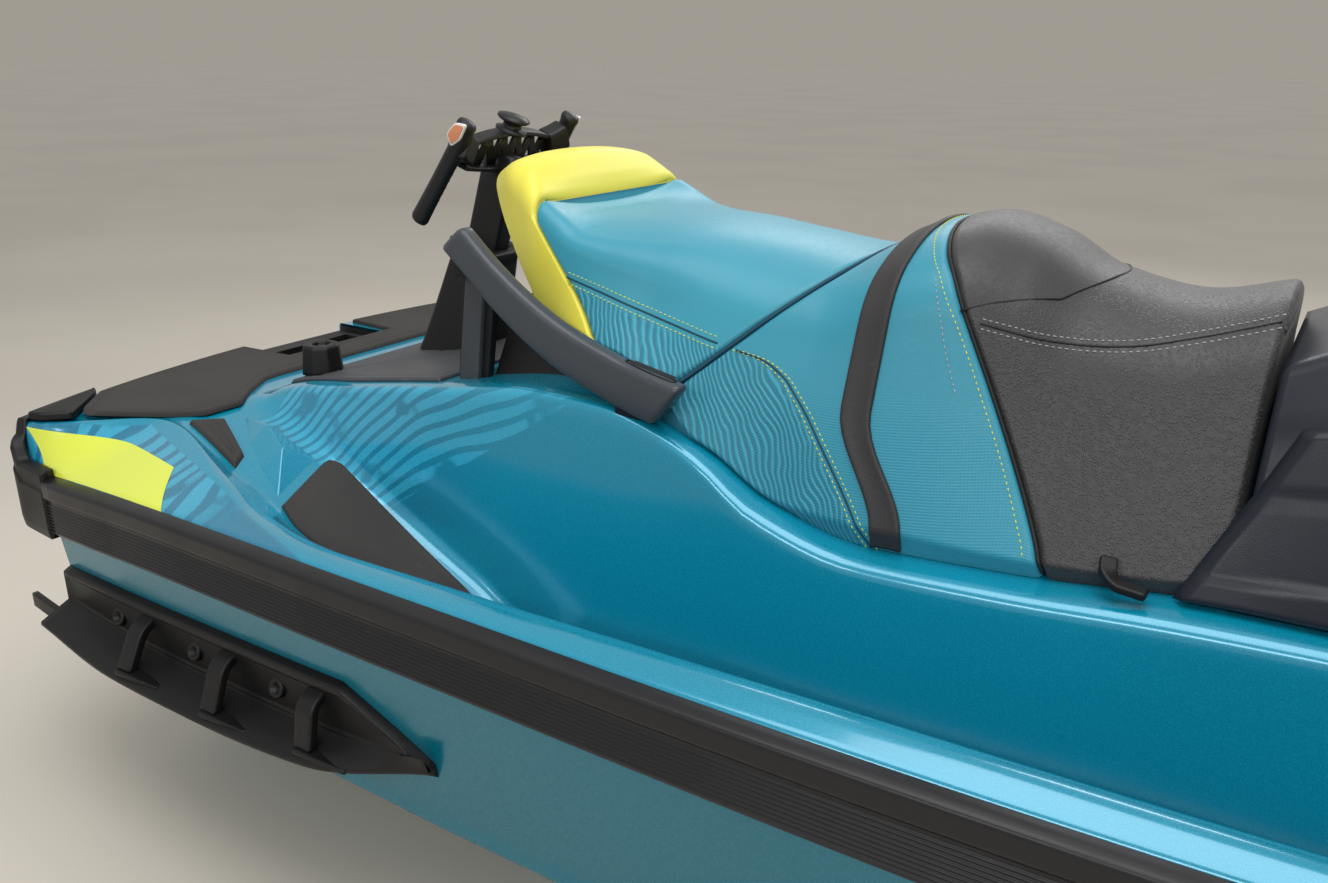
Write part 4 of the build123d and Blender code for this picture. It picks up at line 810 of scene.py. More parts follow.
def make_deck():
    """The deck's top: profiles at each station. Behind the ramps the stations bend to follow the
    rounded aft edge, and that edge turns down to the joint with the hull."""
    runs = ((0, BEND_FRONT, 14), (BEND_FRONT, 900, 70), (900, 2150, 50), (2150, LENGTH, 62))
    s = np.unique(np.concatenate([np.linspace(*run) for run in runs] + [[122, HATCH_AFT, HATCH_FRONT]]))
    profile = rounded(deck_corners(s), DECK_RADII, 6, 6)
    points = with_station(s, profile)
    aft = s < BEND_FRONT
    reach = np.clip(np.abs(profile[aft, :, 0]), 0, 600)
    bent = s[aft, None] + stern_arc(reach) * (1 - s[aft, None] / BEND_FRONT)
    columns = rounded(deck_corners(bent), DECK_RADII, 6, 6)
    pick = np.arange(profile.shape[1])
    points[aft, :, 0] = bent
    points[aft, :, 1:] = columns[:, pick, pick]
    edge = points[:1].copy()
    for turn in (0.3 * pi / 2, 0.62 * pi / 2, 0.9 * pi / 2, None):
        row = edge.copy()
        row[..., 0] -= EDGE_RADIUS * (1 if turn is None else sin(turn))
        lower = EDGE_FOOT if turn is None else row[..., 2] - EDGE_RADIUS * (1 - cos(turn))
        row[..., 2] = np.maximum(lower, EDGE_FOOT)
        points = np.concatenate((row, points))
    x, y = cell_middles(points)[:2]
    gap = (x < GAP_FRONT) & (y < GAP_HALF)
    hatch = (x > HATCH_AFT) & (x < HATCH_FRONT) & (y < HATCH_HALF)
    well = (x > WELL_AFT) & (x < WELL_FRONT) & (y < WELL_HALF)
    return points, ~(gap | hatch | well)


def make_notch():
    """The wall round the boarding step's gap: one soft-cornered U carried straight down."""
    corners = ((STERN_EDGE, -GAP_HALF), (128, -GAP_HALF), (128, GAP_HALF), (STERN_EDGE, GAP_HALF))
    plan = rounded(corners, 14, 6, 6)
    return np.stack([tier(plan, height) for height in (PLATFORM, PLATFORM - 2, 520, 480, 442)])


RIBS = 9
RIBS_LOW, RIBS_HIGH = 81, 35


def rail_profile():
    """The rub rail's section as reach from the hull and depth from its top: a flat foot, ribs
    on a cosine, then a smooth rounded lip."""
    depth = np.linspace(RIBS_LOW, RIBS_HIGH, RIBS * 8 + 1)
    reach = 19.6 - 1.1 * np.cos((RIBS_LOW - depth) / (RIBS_LOW - RIBS_HIGH) * RIBS * 2 * pi)
    ribs = np.column_stack((reach, depth))
    foot = rounded(((0, 85), (17.5, 85), (18.5, 81.5)), 3, 3, 4)
    lip = rounded(((18.6, 34.5), (18.6, 31), (22, 27), (22, 3), (10, 0), (0, 0)), (1.5, 3, 8, 6), 4, 5)
    return np.concatenate((foot, ribs, lip))


def make_rail():
    """The rub rail: its section at each station, laid on the hull's side below the deck's edge."""
    s = np.linspace(184, 3150, 150)[:, None]
    side, rail = hull_line(s)[3:]
    reach, depth = rail_profile().T
    return np.stack((s + 0 * reach, -(side + 0.3 + reach), rail + 1.5 - depth), axis=-1)


def plan_out(plan):
    """Directions square to a path seen from above, to the right of the way it goes."""
    way = np.gradient(plan, axis=0)
    return unit(np.column_stack((way[:, 1], -way[:, 0])))


def carried(plan, reach, height):
    """A section carried along a path seen from above: its reach outwards and its heights."""
    flat = plan[:, None] + plan_out(plan)[:, None] * reach[:, None]
    return np.concatenate((flat, height[..., None]), axis=-1)


def make_bumper():
    """The bow bumper: a smooth section carried round the stem, square to its plan."""
    s = np.linspace(3151, LENGTH, 14)
    side = hull_line(s)[3]
    plan = np.concatenate((np.column_stack((s, -side)), np.column_stack((s, side))[::-1]))
    plan = rounded(plan, 34, 2, 4)
    top = hull_line(plan[:, 0])[4] + 3
    corners = ((0.5, 88), (18, 88), (22, 60), (24, 30), (22, 0), (0.5, 0))
    reach, depth = ring(corners, (3, 8, 14, 14, 8, 3), 3, 4).T
    return carried(plan, reach, top[:, None] - depth)


def deck_height(stations, breadths):
    """Height of the deck's outer slope, read off its rounded profile at each station."""
    profile = rounded(deck_corners(stations), DECK_RADII, 8, 8)
    outer = profile[:, 8:26]
    return np.array([np.interp(-b, row[:, 0], row[:, 1]) for b, row in zip(breadths, outer)])


def make_patch():
    """The plain yellow patch aft: a four-sided field in station and share of the slope from the
    crease down to the rail, straight between its corners, a hair above the deck."""
    u, v = np.meshgrid(np.linspace(0, 1, 60), np.linspace(0, 1, 22), indexing="ij")
    corners = np.array(((96, 0.10), (392, 0.38), (462, 0.985), (150, 0.985)), float)
    weight = ((1 - u) * (1 - v), u * (1 - v), u * v, (1 - u) * v)
    at = sum(w[..., None] * c for w, c in zip(weight, corners))
    at[..., 1] += 0.55 * u * (1 - u) * (1 - v)
    crease = line_at(CREASE, at[..., 0])[..., 0]
    side = hull_line(at[..., 0])[3]
    breadth = crease + (side - crease) * at[..., 1]
    height = np.array([deck_height(row, b) for row, b in zip(at[..., 0], breadth)])
    points = np.stack((at[..., 0], -breadth, height), axis=-1)
    out = facing(points)
    return points + out * np.sign(out[..., 2:]) * 0.7


def floor_height(s, breadth):
    """Height of the ramp and footwell floor at a station and half-breadth."""
    outer, inner = line_at(FLOOR_OUTER, s), line_at(FLOOR_INNER, s)
    share = (breadth - inner[..., 0]) / np.maximum(outer[..., 0] - inner[..., 0], 1)
    return inner[..., 1] + (outer[..., 1] - inner[..., 1]) * share


def make_corner_top():
    """The stern corner's top: a soft-edged plate on the deck between the cap and the mat."""
    plan = ((58, -428), (71, -434), (108, -473), (149, -519), (120, -549), (97, -558), (78, -497))
    return slab(plan, PLATFORM - 2, PLATFORM + 11, 4, 7)


def make_facets():
    """The moulded wedge between the ramp's two mats: two crests over a five-cornered foot, flat
    between them, whose edges are rounded afterwards."""
    foot = ((318, 350), (392, 336), (462, 338), (506, 446), (448, 424), (386, 396))
    crest = ((386, 360, 22), (452, 388, 27))
    corners = [(x, -y, floor_height(x, y) - 1.5) for x, y in foot]
    corners += [(x, -y, floor_height(x, y) + rise) for x, y, rise in crest]
    faces = [(0, 1, 6), (1, 2, 7, 6), (2, 3, 7), (3, 4, 7), (4, 5, 6, 7), (5, 0, 6), (5, 4, 3, 2, 1, 0)]
    return np.array(corners), faces


CAP_FOOT = 402


def make_corner():
    """The stern corner cap: a soft-edged strip carried round the corner in plan, tall across the
    stern and down to the rail's height along the side."""
    breadth = np.linspace(430, 556, 16)
    aft = np.column_stack((stern_arc(breadth), -breadth))
    s = np.linspace(112, 183, 9)
    plan = smooth_path(np.concatenate((aft, [(99, -569)], np.column_stack((s, -hull_line(s)[3])))), 60, 14)
    top = PLATFORM - 54 * step_up(plan[:, 0], 84, 118) * (plan[:, 1] < -560)
    corners = ((0.6, 0), (20, 0), (22, 0.12), (22, 0.70), (19.5, 0.72), (20.5, 0.95), (16, 1), (0.6, 1))
    reach, share = ring(corners, (1, 0.03, 0.03, 0.01, 0.01, 0.02, 0.02, 1), 3, 4).T
    reach = reach * np.sign(-plan_out(plan)[0, 0])
    return carried(plan, reach, CAP_FOOT + (top[:, None] - CAP_FOOT) * share)


piece(make_hull_skin(), HULL_PAINT, "hull_gelcoat")
dress(HULL_PAINT, "hull")
points, keep = make_deck()
wall(sheet("deck_moulding", points, DECK_PAINT, "deck_gelcoat", "deck", keep=keep), 4)
wall(sheet("step_gap_wall", make_notch(), BLACK, "deck_gelcoat", out=(-1, 0, 0)), 3)
both(closed, "rail_{}", make_rail(), RAIL_RUBBER, "rail_rubber", "rub_rail_{}")
closed("bumper", make_bumper(), RAIL_RUBBER, "rail_rubber", "bow_bumper")
both(closed, "corner_cap_{}", make_corner(), BLACK, "black_plastic", "stern_corner_{}")
both(closed, "corner_top_{}", make_corner_top(), BLACK, "black_plastic")
both(sheet, "film_{}", make_patch(), YELLOW_FILM, "deck_gelcoat", out=(0, -1, 0.4))
corners, faces = make_facets()
for side, turn in SIDES:
    mesh = mesh_of("ramp_wedge_" + side, placed(corners * (1, turn, 1)), [face[::turn] for face in faces])
    mesh.polygons.foreach_set("use_smooth", np.zeros(len(mesh.polygons), bool))
    edge = piece(mesh, DECK_PAINT, "deck_gelcoat").modifiers.new("edge", "BEVEL")
    edge.width, edge.segments, edge.limit_method = 0.003, 3, "ANGLE"
    edge.harden_normals = True


# Mats

MAT_THICK, MAT_ROLL, MAT_GROOVE = 8, 5, 2.4
PLATFORM_HALF = 497


def mat_patch(inner_edge, outer_edge, height, thick=MAT_THICK, rows=40, columns=22):
    """A mat between two edges seen from above: straight rungs between them, its skin lifted off
    the deck by the thickness, with an edge that rolls down over the outer few millimetres."""
    t = eased(columns)
    a, b = smooth_path(inner_edge, rows, 10), smooth_path(outer_edge, rows, 10)
    plan = a[:, None] * (1 - t)[:, None] + b[:, None] * t[:, None]
    width = np.linalg.norm(b - a, axis=-1)[:, None]
    rim = np.minimum(np.minimum(t, 1 - t) * width, 60)
    run = run_of((a + b) / 2)
    rim = np.minimum(rim, np.minimum(run, run[-1] - run)[:, None])
    lift = thick * rolled(rim, MAT_ROLL) - MAT_GROOVE * bell(rim - 15, 2.2)
    z = height(plan[..., 0], np.abs(plan[..., 1])) + lift
    return np.concatenate((plan, z[..., None]), axis=-1)


def make_platform_mat():
    """The platform's mat: a plan outline between the aft arc and the ramps, mirrored."""
    y = np.linspace(-PLATFORM_HALF, PLATFORM_HALF, 120)
    half = np.abs(y)
    front = np.interp(half, (0, 200, 230, 290, 335, 400, 434, 512), (215, 215, 219, 258, 297, 297, 262, 134))
    corner = 69 + (half - 437) * 0.95 + 10
    back = np.where(half < GAP_HALF + 10, 140, np.maximum(stern_arc(half) + 12, corner))
    t = eased(40)
    x = back[:, None] * (1 - t) + front[:, None] * t
    across = np.broadcast_to(y[:, None], x.shape)
    rim = np.minimum(np.minimum(x - back[:, None], front[:, None] - x), PLATFORM_HALF - np.abs(across))
    lift = MAT_THICK * rolled(rim, MAT_ROLL) - MAT_GROOVE * bell(rim - 16, 2.2)
    return np.stack((x, across, PLATFORM + lift), axis=-1)


MATS = (
    ("ramp_foam_small_{}", "ramp_mat_{}", ((300, -431), (321, -384)), ((428, -452), (410, -423)), 24),
    ("ramp_foam_large_{}", "footwell_mat_{}", ((474, -336), (490, -318), (653, -340), (835, -360)),
     ((520, -452), (560, -466), (700, -462), (835, -440)), 40),
    ("footwell_foam_{}", "", ((846, -350), (2070, -344)), ((846, -462), (2070, -448)), 90),
)
sheet("platform_foam", make_platform_mat(), MAT, "foam_mat", "platform_mat")
for name, node, inner_edge, outer_edge, rows in MATS:
    points = mat_patch(inner_edge, outer_edge, floor_height, rows=rows)
    both(sheet, name, points, MAT, "foam_mat", node, out=(0, 0, 1))


# Seat

SEAT_CROWN = (
    (590, 0, 905), (640, 0, 932), (690, 0, 944), (722, 0, 944), (745, 0, 916), (765, 0, 876), (800, 0, 868),
    (909, 0, 868), (966, 0, 867), (1066, 0, 860), (1180, 0, 850), (1280, 0, 895), (1334, 0, 907),
    (1400, 0, 892), (1472, 0, 855), (1559, 0, 838), (1655, 0, 860),
)
SEAT_SHOULDER = (
    (590, 70, 897), (640, 116, 915), (690, 152, 930), (722, 166, 922), (745, 178, 908), (765, 184, 896),
    (800, 190, 874), (837, 196, 852), (909, 188, 842), (966, 180, 838), (1066, 174, 820), (1180, 178, 805),
    (1280, 176, 842), (1334, 172, 852), (1400, 164, 826), (1472, 158, 792), (1559, 150, 790),
    (1655, 136, 815),
)
SEAT_FLANK = (
    (590, 80, 850), (640, 122, 850), (681, 148, 842), (722, 172, 835), (765, 192, 830), (837, 205, 805),
    (909, 206, 784), (966, 208, 762), (1066, 218, 735), (1180, 226, 706), (1280, 222, 700), (1334, 216, 702),
    (1400, 210, 690), (1472, 204, 676), (1559, 196, 686), (1655, 180, 705),
)
SEAT_SKIRT = (
    (590, 80, 780), (681, 150, 778), (750, 186, 772), (800, 204, 760), (850, 224, 752), (909, 242, 738),
    (966, 248, 724), (1010, 254, 700), (1066, 262, 650), (1180, 262, 595), (1280, 262, 590), (1334, 260, 592),
    (1400, 258, 592), (1472, 256, 595), (1559, 250, 600), (1655, 240, 612),
)
SEAT_FLOOR = ((590, 0, 752), (748, 0, 745), (909, 0, 722), (964, 0, 707), (990, 0, 656), (1066, 0, 631))
TAIL_FACE = ((800, 700), (750, 772), (590, 930), (590, 1000))
TAIL_SEAM = ((950, 676), (885, 743), (763, 868), (763, 1000))
PASSENGER_SEAM = ((970, 500), (988, 655), (1027, 696), (1215, 864), (1215, 1000))
TEAL_SEAM = ((1510, 500), (1478, 595), (1334, 852), (1288, 900), (1288, 1000))
FRONT_SEAM = ((1655, 500), (1655, 1000))
SEAT_STEP = 2.5
SEAT_STATIONS = np.arange(590, 1655.1, SEAT_STEP)
LAST = len(SEAT_STATIONS) - 1


def seat_table():
    """The whole seat's skin as half-breadth and height, for every 2.5 mm of station."""
    s = SEAT_STATIONS
    lines = (SEAT_CROWN, SEAT_SHOULDER, SEAT_FLANK, SEAT_SKIRT)
    crown, shoulder, flank, skirt = (line_at(rows, s).T for rows in lines)
    floor = np.where(s <= 1066, line_at(SEAT_FLOOR, s)[..., 1], line_at(RIDGE, s)[..., 1] + 3.5)
    bulge = crown[1] - (crown[1] - shoulder[1]) * 0.2
    half = pairs((skirt[0] - 8, floor), (skirt[0], np.maximum(skirt[1] - 14, floor + 6)), flank, shoulder,
                 (shoulder[0] * 0.52, bulge), crown)
    return rounded(both_halves(half), [5, 90, 60, 90, 200, 90, 60, 90, 5], 9, 8)


SEAT = seat_table()


def seat_at(stations):
    """The seat's skin where each column has its own stations, straight between the table's rows."""
    place = np.clip((stations - SEAT_STATIONS[0]) / SEAT_STEP, 0, LAST - 0.001)
    k = place.astype(int)
    share = (place - k)[..., None]
    column = np.broadcast_to(np.arange(SEAT.shape[1]), stations.shape)
    profile = SEAT[k, column] * (1 - share) + SEAT[k + 1, column] * share
    return np.concatenate((stations[..., None], profile), axis=-1)


def seam_stations(seam):
    """Where each column of the skin first crosses a seam that is drawn from the side."""
    low, high = np.array(seam, float)[:, ::-1].T
    order = np.argsort(low)
    across = np.interp(SEAT[..., 1], low[order], high[order])
    past = SEAT_STATIONS[:, None] - across
    first = np.where(past.max(axis=0) < 0, LAST, np.argmax(past >= 0, axis=0))
    before = np.maximum(first - 1, 0)
    column = np.arange(SEAT.shape[1])
    a, b = past[before, column], past[first, column]
    share = np.where((first > 0) & (b != a), -a / np.where(b == a, 1, b - a), 0)
    start = SEAT_STATIONS[before]
    return start + np.clip(share, 0, 1) * (SEAT_STATIONS[first] - start)


PAD_ROLL, PAD_GAP = 9.0, 1.0


def seat_pad(aft, front, rows):
    """A pad between two seams: the skin's columns from seam to seam, rolled in along its own
    normal by a quarter circle at each seam, so that the pads meet in a groove."""
    a, b = seam_stations(aft) + PAD_GAP, seam_stations(front) - PAD_GAP
    t = 0.55 * eased(rows) + 0.45 * np.linspace(0, 1, rows)
    s = a + (b - a) * t[:, None]
    points = seat_at(s)
    sink = PAD_ROLL * (1 - rolled(np.minimum(s - a, b - s), PAD_ROLL))
    out = facing(points)
    out *= np.sign((out * (points - points.mean(axis=(0, 1)))).sum(axis=-1).mean())
    return points - out * sink[..., None]


def skin_line(stations):
    """The seat's skin at one station for each column, and its outward directions there."""
    rows = seat_at(np.stack((stations - 2, stations, stations + 2)))
    out = facing(rows)[1]
    out *= np.sign((out * (rows[1] - (stations.mean(), 0, 700))).sum(axis=-1).mean())
    return rows[1], out


def make_pad(name, node, aft, front, rows, finish, slot, rule=None):
    """A pad between two seams, closed underneath and at both seams.
    A rule of station, half-breadth and height writes its mask, which says where it is patterned."""
    points = seat_pad(aft, front, rows)
    made = piece(grid(name, points, around=True, ladder=True), finish, slot, node)
    if rule:
        mask = rule(points[..., 0], np.abs(points[..., 1]), points[..., 2]).ravel()
        layer = made.data.attributes.new("panel", "FLOAT", "POINT")
        layer.data.foreach_set("value", mask.astype(np.float32))


PASSENGER_STITCH = ((833, 797), (888, 785), (965, 765), (1045, 748), (1066, 744))
DRIVER_STITCH = (
    (1089, 742), (1130, 736), (1160, 720), (1176, 704), (1194, 686), (1226, 645), (1262, 600), (1300, 545),
)
INNER_SEAM = ((1322, 848), (1336, 815), (1352, 770), (1368, 735))
BLACK_STITCH = ((1372, 812), (1454, 796), (1523, 800), (1585, 815), (1650, 838))


def below_passenger_stitch(s, y, z):
    """1 below the passenger pad's stitched line: a smooth step over 4 mm of height."""
    return step_up(line_at(PASSENGER_STITCH, s)[..., 0] - z, 3, 7)


def behind_driver_stitch(s, y, z):
    """1 behind the driver pad's stitched line and below 752 mm: two smooth steps multiplied."""
    front = np.interp(z, *np.array(DRIVER_STITCH, float)[::-1, ::-1].T)
    return step_up(front - s, 3, 7) * step_up(752 - z, 0, 10)


def bolster_front(breadth):
    """Station of the black bolster's front seam at a half-breadth."""
    return np.interp(breadth, (0, 60, 120, 150, 172, 190), (1486, 1472, 1440, 1402, 1362, 1330))


def ahead_of_bolster(s, y, z):
    """1 ahead of the bolster's front seam: a smooth step over 3 mm of station."""
    return step_up(s - bolster_front(y), 2, 5)


make_pad("tail_pad", "seat_tail", TAIL_FACE, TAIL_SEAM, 90, SEAT_YELLOW, "seat_yellow")
make_pad("passenger_pad", "seat_passenger", TAIL_SEAM, PASSENGER_SEAM, 120, SEAT_TEAL, "seat_teal",
         below_passenger_stitch)
make_pad("driver_rear_pad", "seat_driver_rear", PASSENGER_SEAM, TEAL_SEAM, 120, SEAT_WOVEN, "seat_teal",
         behind_driver_stitch)
make_pad("driver_front_pad", "seat_driver_front", TEAL_SEAM, FRONT_SEAM, 110, SEAT_BLACK, "seat_black",
         ahead_of_bolster)


def on_flank(stations, heights):
    """Half-breadth of the seat's starboard side where it passes a height, at each station."""
    k = np.clip(np.round((stations - SEAT_STATIONS[0]) / SEAT_STEP).astype(int), 0, LAST)
    half = SEAT.shape[1] // 2
    return np.array([np.interp(h, SEAT[i, :half, 1], SEAT[i, :half, 0]) for i, h in zip(k, heights)])


STITCH_PITCH, STITCH_LENGTH, THREAD_RADIUS = 7.0, 4.6, 0.75


def stitches(name, path, outward):
    """Thread on a path: one closed capsule each pitch, six-sided, swelling as a half sine from
    end to end, sunk a little into the skin at its ends."""
    run = run_of(path)
    at = np.arange(STITCH_PITCH / 2, run[-1], STITCH_PITCH)
    centre = at_run(path, run, at)
    way = unit(at_run(path, run, at + 1) - at_run(path, run, at - 1))
    lift = unit(at_run(outward, run, at))
    across = np.cross(way, lift)
    t = np.linspace(0, 1, 5)[:, None, None]
    girth = THREAD_RADIUS * np.sqrt(np.clip(np.sin(t * pi), 0.05, 1))
    rise = 0.9 * np.sin(t * pi) - 0.35
    aside, up = circle(1, 6)[:, None].swapaxes(0, 2)[..., None]
    centre, way, lift, across = (part[:, None, None] for part in (centre, way, lift, across))
    body = (centre + way * (t - 0.5) * STITCH_LENGTH
            + lift * (rise + girth * up) + across * girth * aside)
    bases = range(0, len(at) * 30, 30)
    faces = (quads(5, 6, around=True)[None] + np.array(bases)[:, None, None]).reshape(-1, 4).tolist()
    caps = [[base + k for k in order] for base in bases for order in (range(6), range(29, 23, -1))]
    return look_out(mesh_of(name, placed(body), faces + caps))


def side_seam(rows, shift, count=160):
    """A line on the starboard flank from rows of station and height, and its outward direction."""
    s, z = smooth_path(np.array(rows, float) + shift, count, 40).T
    return np.column_stack((s, on_flank(s, z), z)), np.tile((0, -1, 0.25), (count, 1))


def stitch_sides(name, path, outward, finish, slot):
    """Stitches on a starboard line and on its port image."""
    for side, turn in SIDES:
        flip = (1, turn, 1)
        piece(stitches(name + "_" + side, path * flip, outward * flip), finish, slot)


def round_seam(seam, offset, cut):
    """A line right round the seat beside a seam, at an offset in station, less a share that is cut
    off at each end, and its outward way."""
    path, out = skin_line(seam_stations(seam) + offset)
    inside = slice(int(len(path) * cut), int(len(path) * (1 - cut)))
    return path[inside], out[inside]


def cord_seam(name, path, outward, radius, finish, slot):
    """A seam's cord: a thin round cord that lies half sunk along a line on the skin. In the dark
    finishes it is given, it paints the shade in the seam.
    """
    raised = path + unit(outward) * radius * 0.15
    closed(name, sweep(raised, circle(radius, 8), up=(0.02, 0.03, 1)), finish, slot)


def bolster_seam():
    """The black bolster's front seam: each column of the skin at the station that a curve of
    half-breadth gives it, found by going back and forth four times."""
    s = np.full(SEAT.shape[1], 1430.0)
    for _ in range(4):
        s = bolster_front(np.abs(seat_at(s[None])[0, :, 1]))
    path, out = skin_line(s)
    upper = (np.abs(path[:, 1]) < 181) & (path[:, 2] > 760)
    return path[upper], out[upper]


def smoothed(rows):
    """A line with its points averaged with their neighbours, ends kept."""
    for _ in range(6):
        rows = np.concatenate((rows[:1], (rows[:-2] + rows[1:-1] * 2 + rows[2:]) / 4, rows[-1:]))
    return rows


def make_welt(name, seam, radius, depth, finish, slot):
    """A cord in a seam that runs right round the seat, sunk by a depth below the skin: painted shade
    in the seam's groove.
    """
    path, out = round_seam(seam, 0, 0.03)
    cord_seam(name, smoothed(path) - out * depth, smoothed(out), radius, finish, slot)


STITCH_ROWS = (
    ("passenger_stitch_a", PASSENGER_STITCH, (0, -4), THREAD_YELLOW, "seat_yellow"),
    ("passenger_stitch_b", PASSENGER_STITCH, (0, 9), THREAD_YELLOW, "seat_yellow"),
    ("driver_stitch_a", DRIVER_STITCH, (-3, 0), THREAD_YELLOW, "seat_yellow"),
    ("driver_stitch_b", DRIVER_STITCH, (10, 0), THREAD_YELLOW, "seat_yellow"),
    ("black_stitch_a", BLACK_STITCH, (0, 0), THREAD_GREY, "seat_black"),
    ("black_stitch_b", BLACK_STITCH, (0, -10), THREAD_GREY, "seat_black"),
)
for name, rows, shift, finish, slot in STITCH_ROWS:
    stitch_sides(name, *side_seam(rows, shift), finish, slot)
stitch_sides("inner_stitch", *side_seam(INNER_SEAM, (-8, 0), 60), THREAD_GREY, "seat_black")
piece(stitches("teal_seam_stitch", *round_seam(TEAL_SEAM, -16, 0.1)), THREAD_YELLOW, "seat_yellow")
# The dark cords between the rows of stitches are painted shade in the seams.
for name, rows, shift, finish in (("passenger", PASSENGER_STITCH, (0, 2.5), SEAM_SHADE_TEAL),
                                  ("driver", DRIVER_STITCH, (3.5, 0), SEAM_SHADE_TEAL),
                                  ("black", BLACK_STITCH, (0, -5), SHADE_BLACK)):
    path, out = side_seam(rows, shift)
    for side, turn in SIDES:
        flip = (1, turn, 1)
        cord_seam("seam_%s_%s" % (name, side), path * flip, out * flip, 1.3, finish, "seat_black")
# Painted shade: dark cords in the bolster's seam and in the two seams right round the seat.
path, out = bolster_seam()
cord_seam("bolster_seam", smoothed(path), smoothed(out), 1.5, SHADE_BLACK, "seat_black")
make_welt("passenger_welt", PASSENGER_SEAM, 3.0, 2.5, SEAM_SHADE_TEAL, "seat_teal")
make_welt("teal_seam_shade", TEAL_SEAM, 2.4, 3.0, SHADE_BLACK, "seat_black")

STRAP_AFT, STRAP_MIDDLE = 1284, 1302


def make_strap():
    """The grab strap: a band on the seat's skin with raised, rounded edges, as a closed loop of
    a flat section at every column of the skin. It bows aft over the crown and upper flanks."""
    width = np.array((0, 0, 1, 4, 8, 28, 32, 35, 36, 36, 34, 18, 2)) + float(STRAP_AFT)
    lift = np.array((0.5, 2.5, 4.2, 4.8, 3.8, 3.8, 4.8, 4.2, 2.5, 0.5, 0.3, 0.3, 0.3))
    height = seat_at(np.full((1, SEAT.shape[1]), float(STRAP_MIDDLE)))[0, :, 2]
    bow = 60 * step_up(height, 570, 700) - 14
    points = seat_at(width[:, None] - bow) + skin_line(STRAP_MIDDLE - bow)[1] * lift[:, None, None]
    return np.swapaxes(points, 0, 1)[3:-3]


def make_latch():
    """The seat's latch: a small bent lever that stands off the seat's foot."""
    path = smooth_path(((1549, -252, 604), (1552, -268, 596), (1562, -274, 588), (1590, -275, 586)), 24, 7)
    return soft_ends(sweep(path, bar_section(17, 9, 3), up=(0.1, 0, 1)), 2)


closed("strap", make_strap(), WEB, "strap_web", "seat_strap")
both(closed, "latch_{}", make_latch(), BLACK, "seat_black")
dress(BLACK, "seat_base")


# Grab rail, rear deck and pylon

GRAB_LINE = (
    (660, 250, 860), (704, 254, 828), (753, 259, 791), (805, 262, 757), (852, 263, 731), (898, 264, 712),
    (937, 266, 700), (973, 268, 690), (1014, 273, 683), (1060, 278, 676),
)


def make_grab_bar():
    """The grab rail's bar: a flattened, soft-cornered section between two slanted ends. Each
    point of the section has its own first and last station, by its height in the section."""
    section = bar_section(26, 62, 10)
    share = section[:, 1] / 31
    s = np.linspace(686 + 20 * share, 1036 + 22 * share, 70)
    y, z = np.moveaxis(line_at(GRAB_LINE, s), -1, 0)
    crown = 1.6 * np.cos(share * pi / 2) * np.sign(section[:, 0])
    return soft_ends(np.stack((s, -(y + section[:, 0] + crown), z + section[:, 1]), axis=-1), 5)


def make_grab_slot():
    """The rim of the hand slot on top of the bar: a thin cord round a long rounded outline."""
    turn = np.linspace(0, 2 * pi, 48, endpoint=False)
    s = 1008 + 34 * np.clip(1.35 * np.cos(turn), -1, 1) + 4 * np.cos(turn)
    y, z = np.moveaxis(line_at(GRAB_LINE, s), -1, 0)
    path = np.stack((s, -(y - 2 - 5.5 * np.sin(turn)), z + 31.2), axis=-1)
    return sweep(np.concatenate((path, path[:2])), circle(1.3, 8))[:-1]


def make_grab_hollow():
    """The hand slot's dark floor, laid along the top of the bar: painted shade where the slot is hollow."""
    plate = slab(((976, 256), (1040, 260), (1040, 271), (976, 267)), 0, 1.2, 0.8, 5)
    s, y, up = np.moveaxis(plate, -1, 0)
    return np.stack((s, -y, line_at(GRAB_LINE, s)[..., 1] + 30.6 + up), axis=-1)


# Outline in station and height, both faces, edge radius, corner radius, breadth, finish
GRAB_PLATES = (
    ("leg", ((646, 622), (700, 622), (722, 770), (706, 812), (668, 812)), (-7, 7), 2.5, 8, -218, BLACK),
    ("rib", ((655, 624), (690, 624), (708, 766), (696, 800), (680, 800)), (-10, 0), 2, 6, -224, DARK_GREY),
    ("back", ((640, 615), (668, 622), (690, 750), (672, 800), (652, 780)), (-6, 6), 2, 6, -196, BLACK),
    ("arm", ((676, 790), (714, 790), (714, 806), (676, 806)), (-18, 18), 2, 3, -236, BLACK),
    ("foot", ((958, 652), (1012, 652), (1012, 688), (958, 688)), (-9, 9), 2, 3, -268, BLACK),
)
both(closed, "grab_bar_{}", make_grab_bar(), GRAB_GREY, "rail_rubber", "grab_rail_{}")
both(closed, "grab_slot_{}", make_grab_slot(), BLACK, "rail_rubber")
# The slot's dark floor is painted shade.
both(closed, "grab_hollow_{}", make_grab_hollow(), SHADE_BLACK, "rail_rubber")
for name, outline, faces, edge, turn, breadth, finish in GRAB_PLATES:
    plate = slab(outline, *faces, edge, turn, upright(breadth))
    both(closed, "grab_" + name + "_{}", plate, finish, "rail_rubber")


def ridge_level(s, breadth):
    """Height of the deck's level middle, the same at every half-breadth."""
    return line_at(RIDGE, s)[..., 1] + np.where(s > BEND_FRONT, LEDGE_LIFT + 0.3, 0.3)


def make_rear_panel():
    """The rear deck panel: a lifted skin on the level middle of the deck with a rolled edge and
    a shallow curved groove, left open over the mast's well."""
    points = mat_patch(((312, -254), (639, -254)), ((312, 254), (639, 254)), ridge_level, 6, 90, 70)
    swing = np.hypot(points[..., 0] - 250, points[..., 1] * 0.8) - 205
    points[..., 2] -= 1.8 * bell(swing, 3.0)
    x, y = cell_middles(points)[:2]
    return points, ~((x > WELL_AFT) & (x < WELL_FRONT - 2) & (y < WELL_HALF - 4))


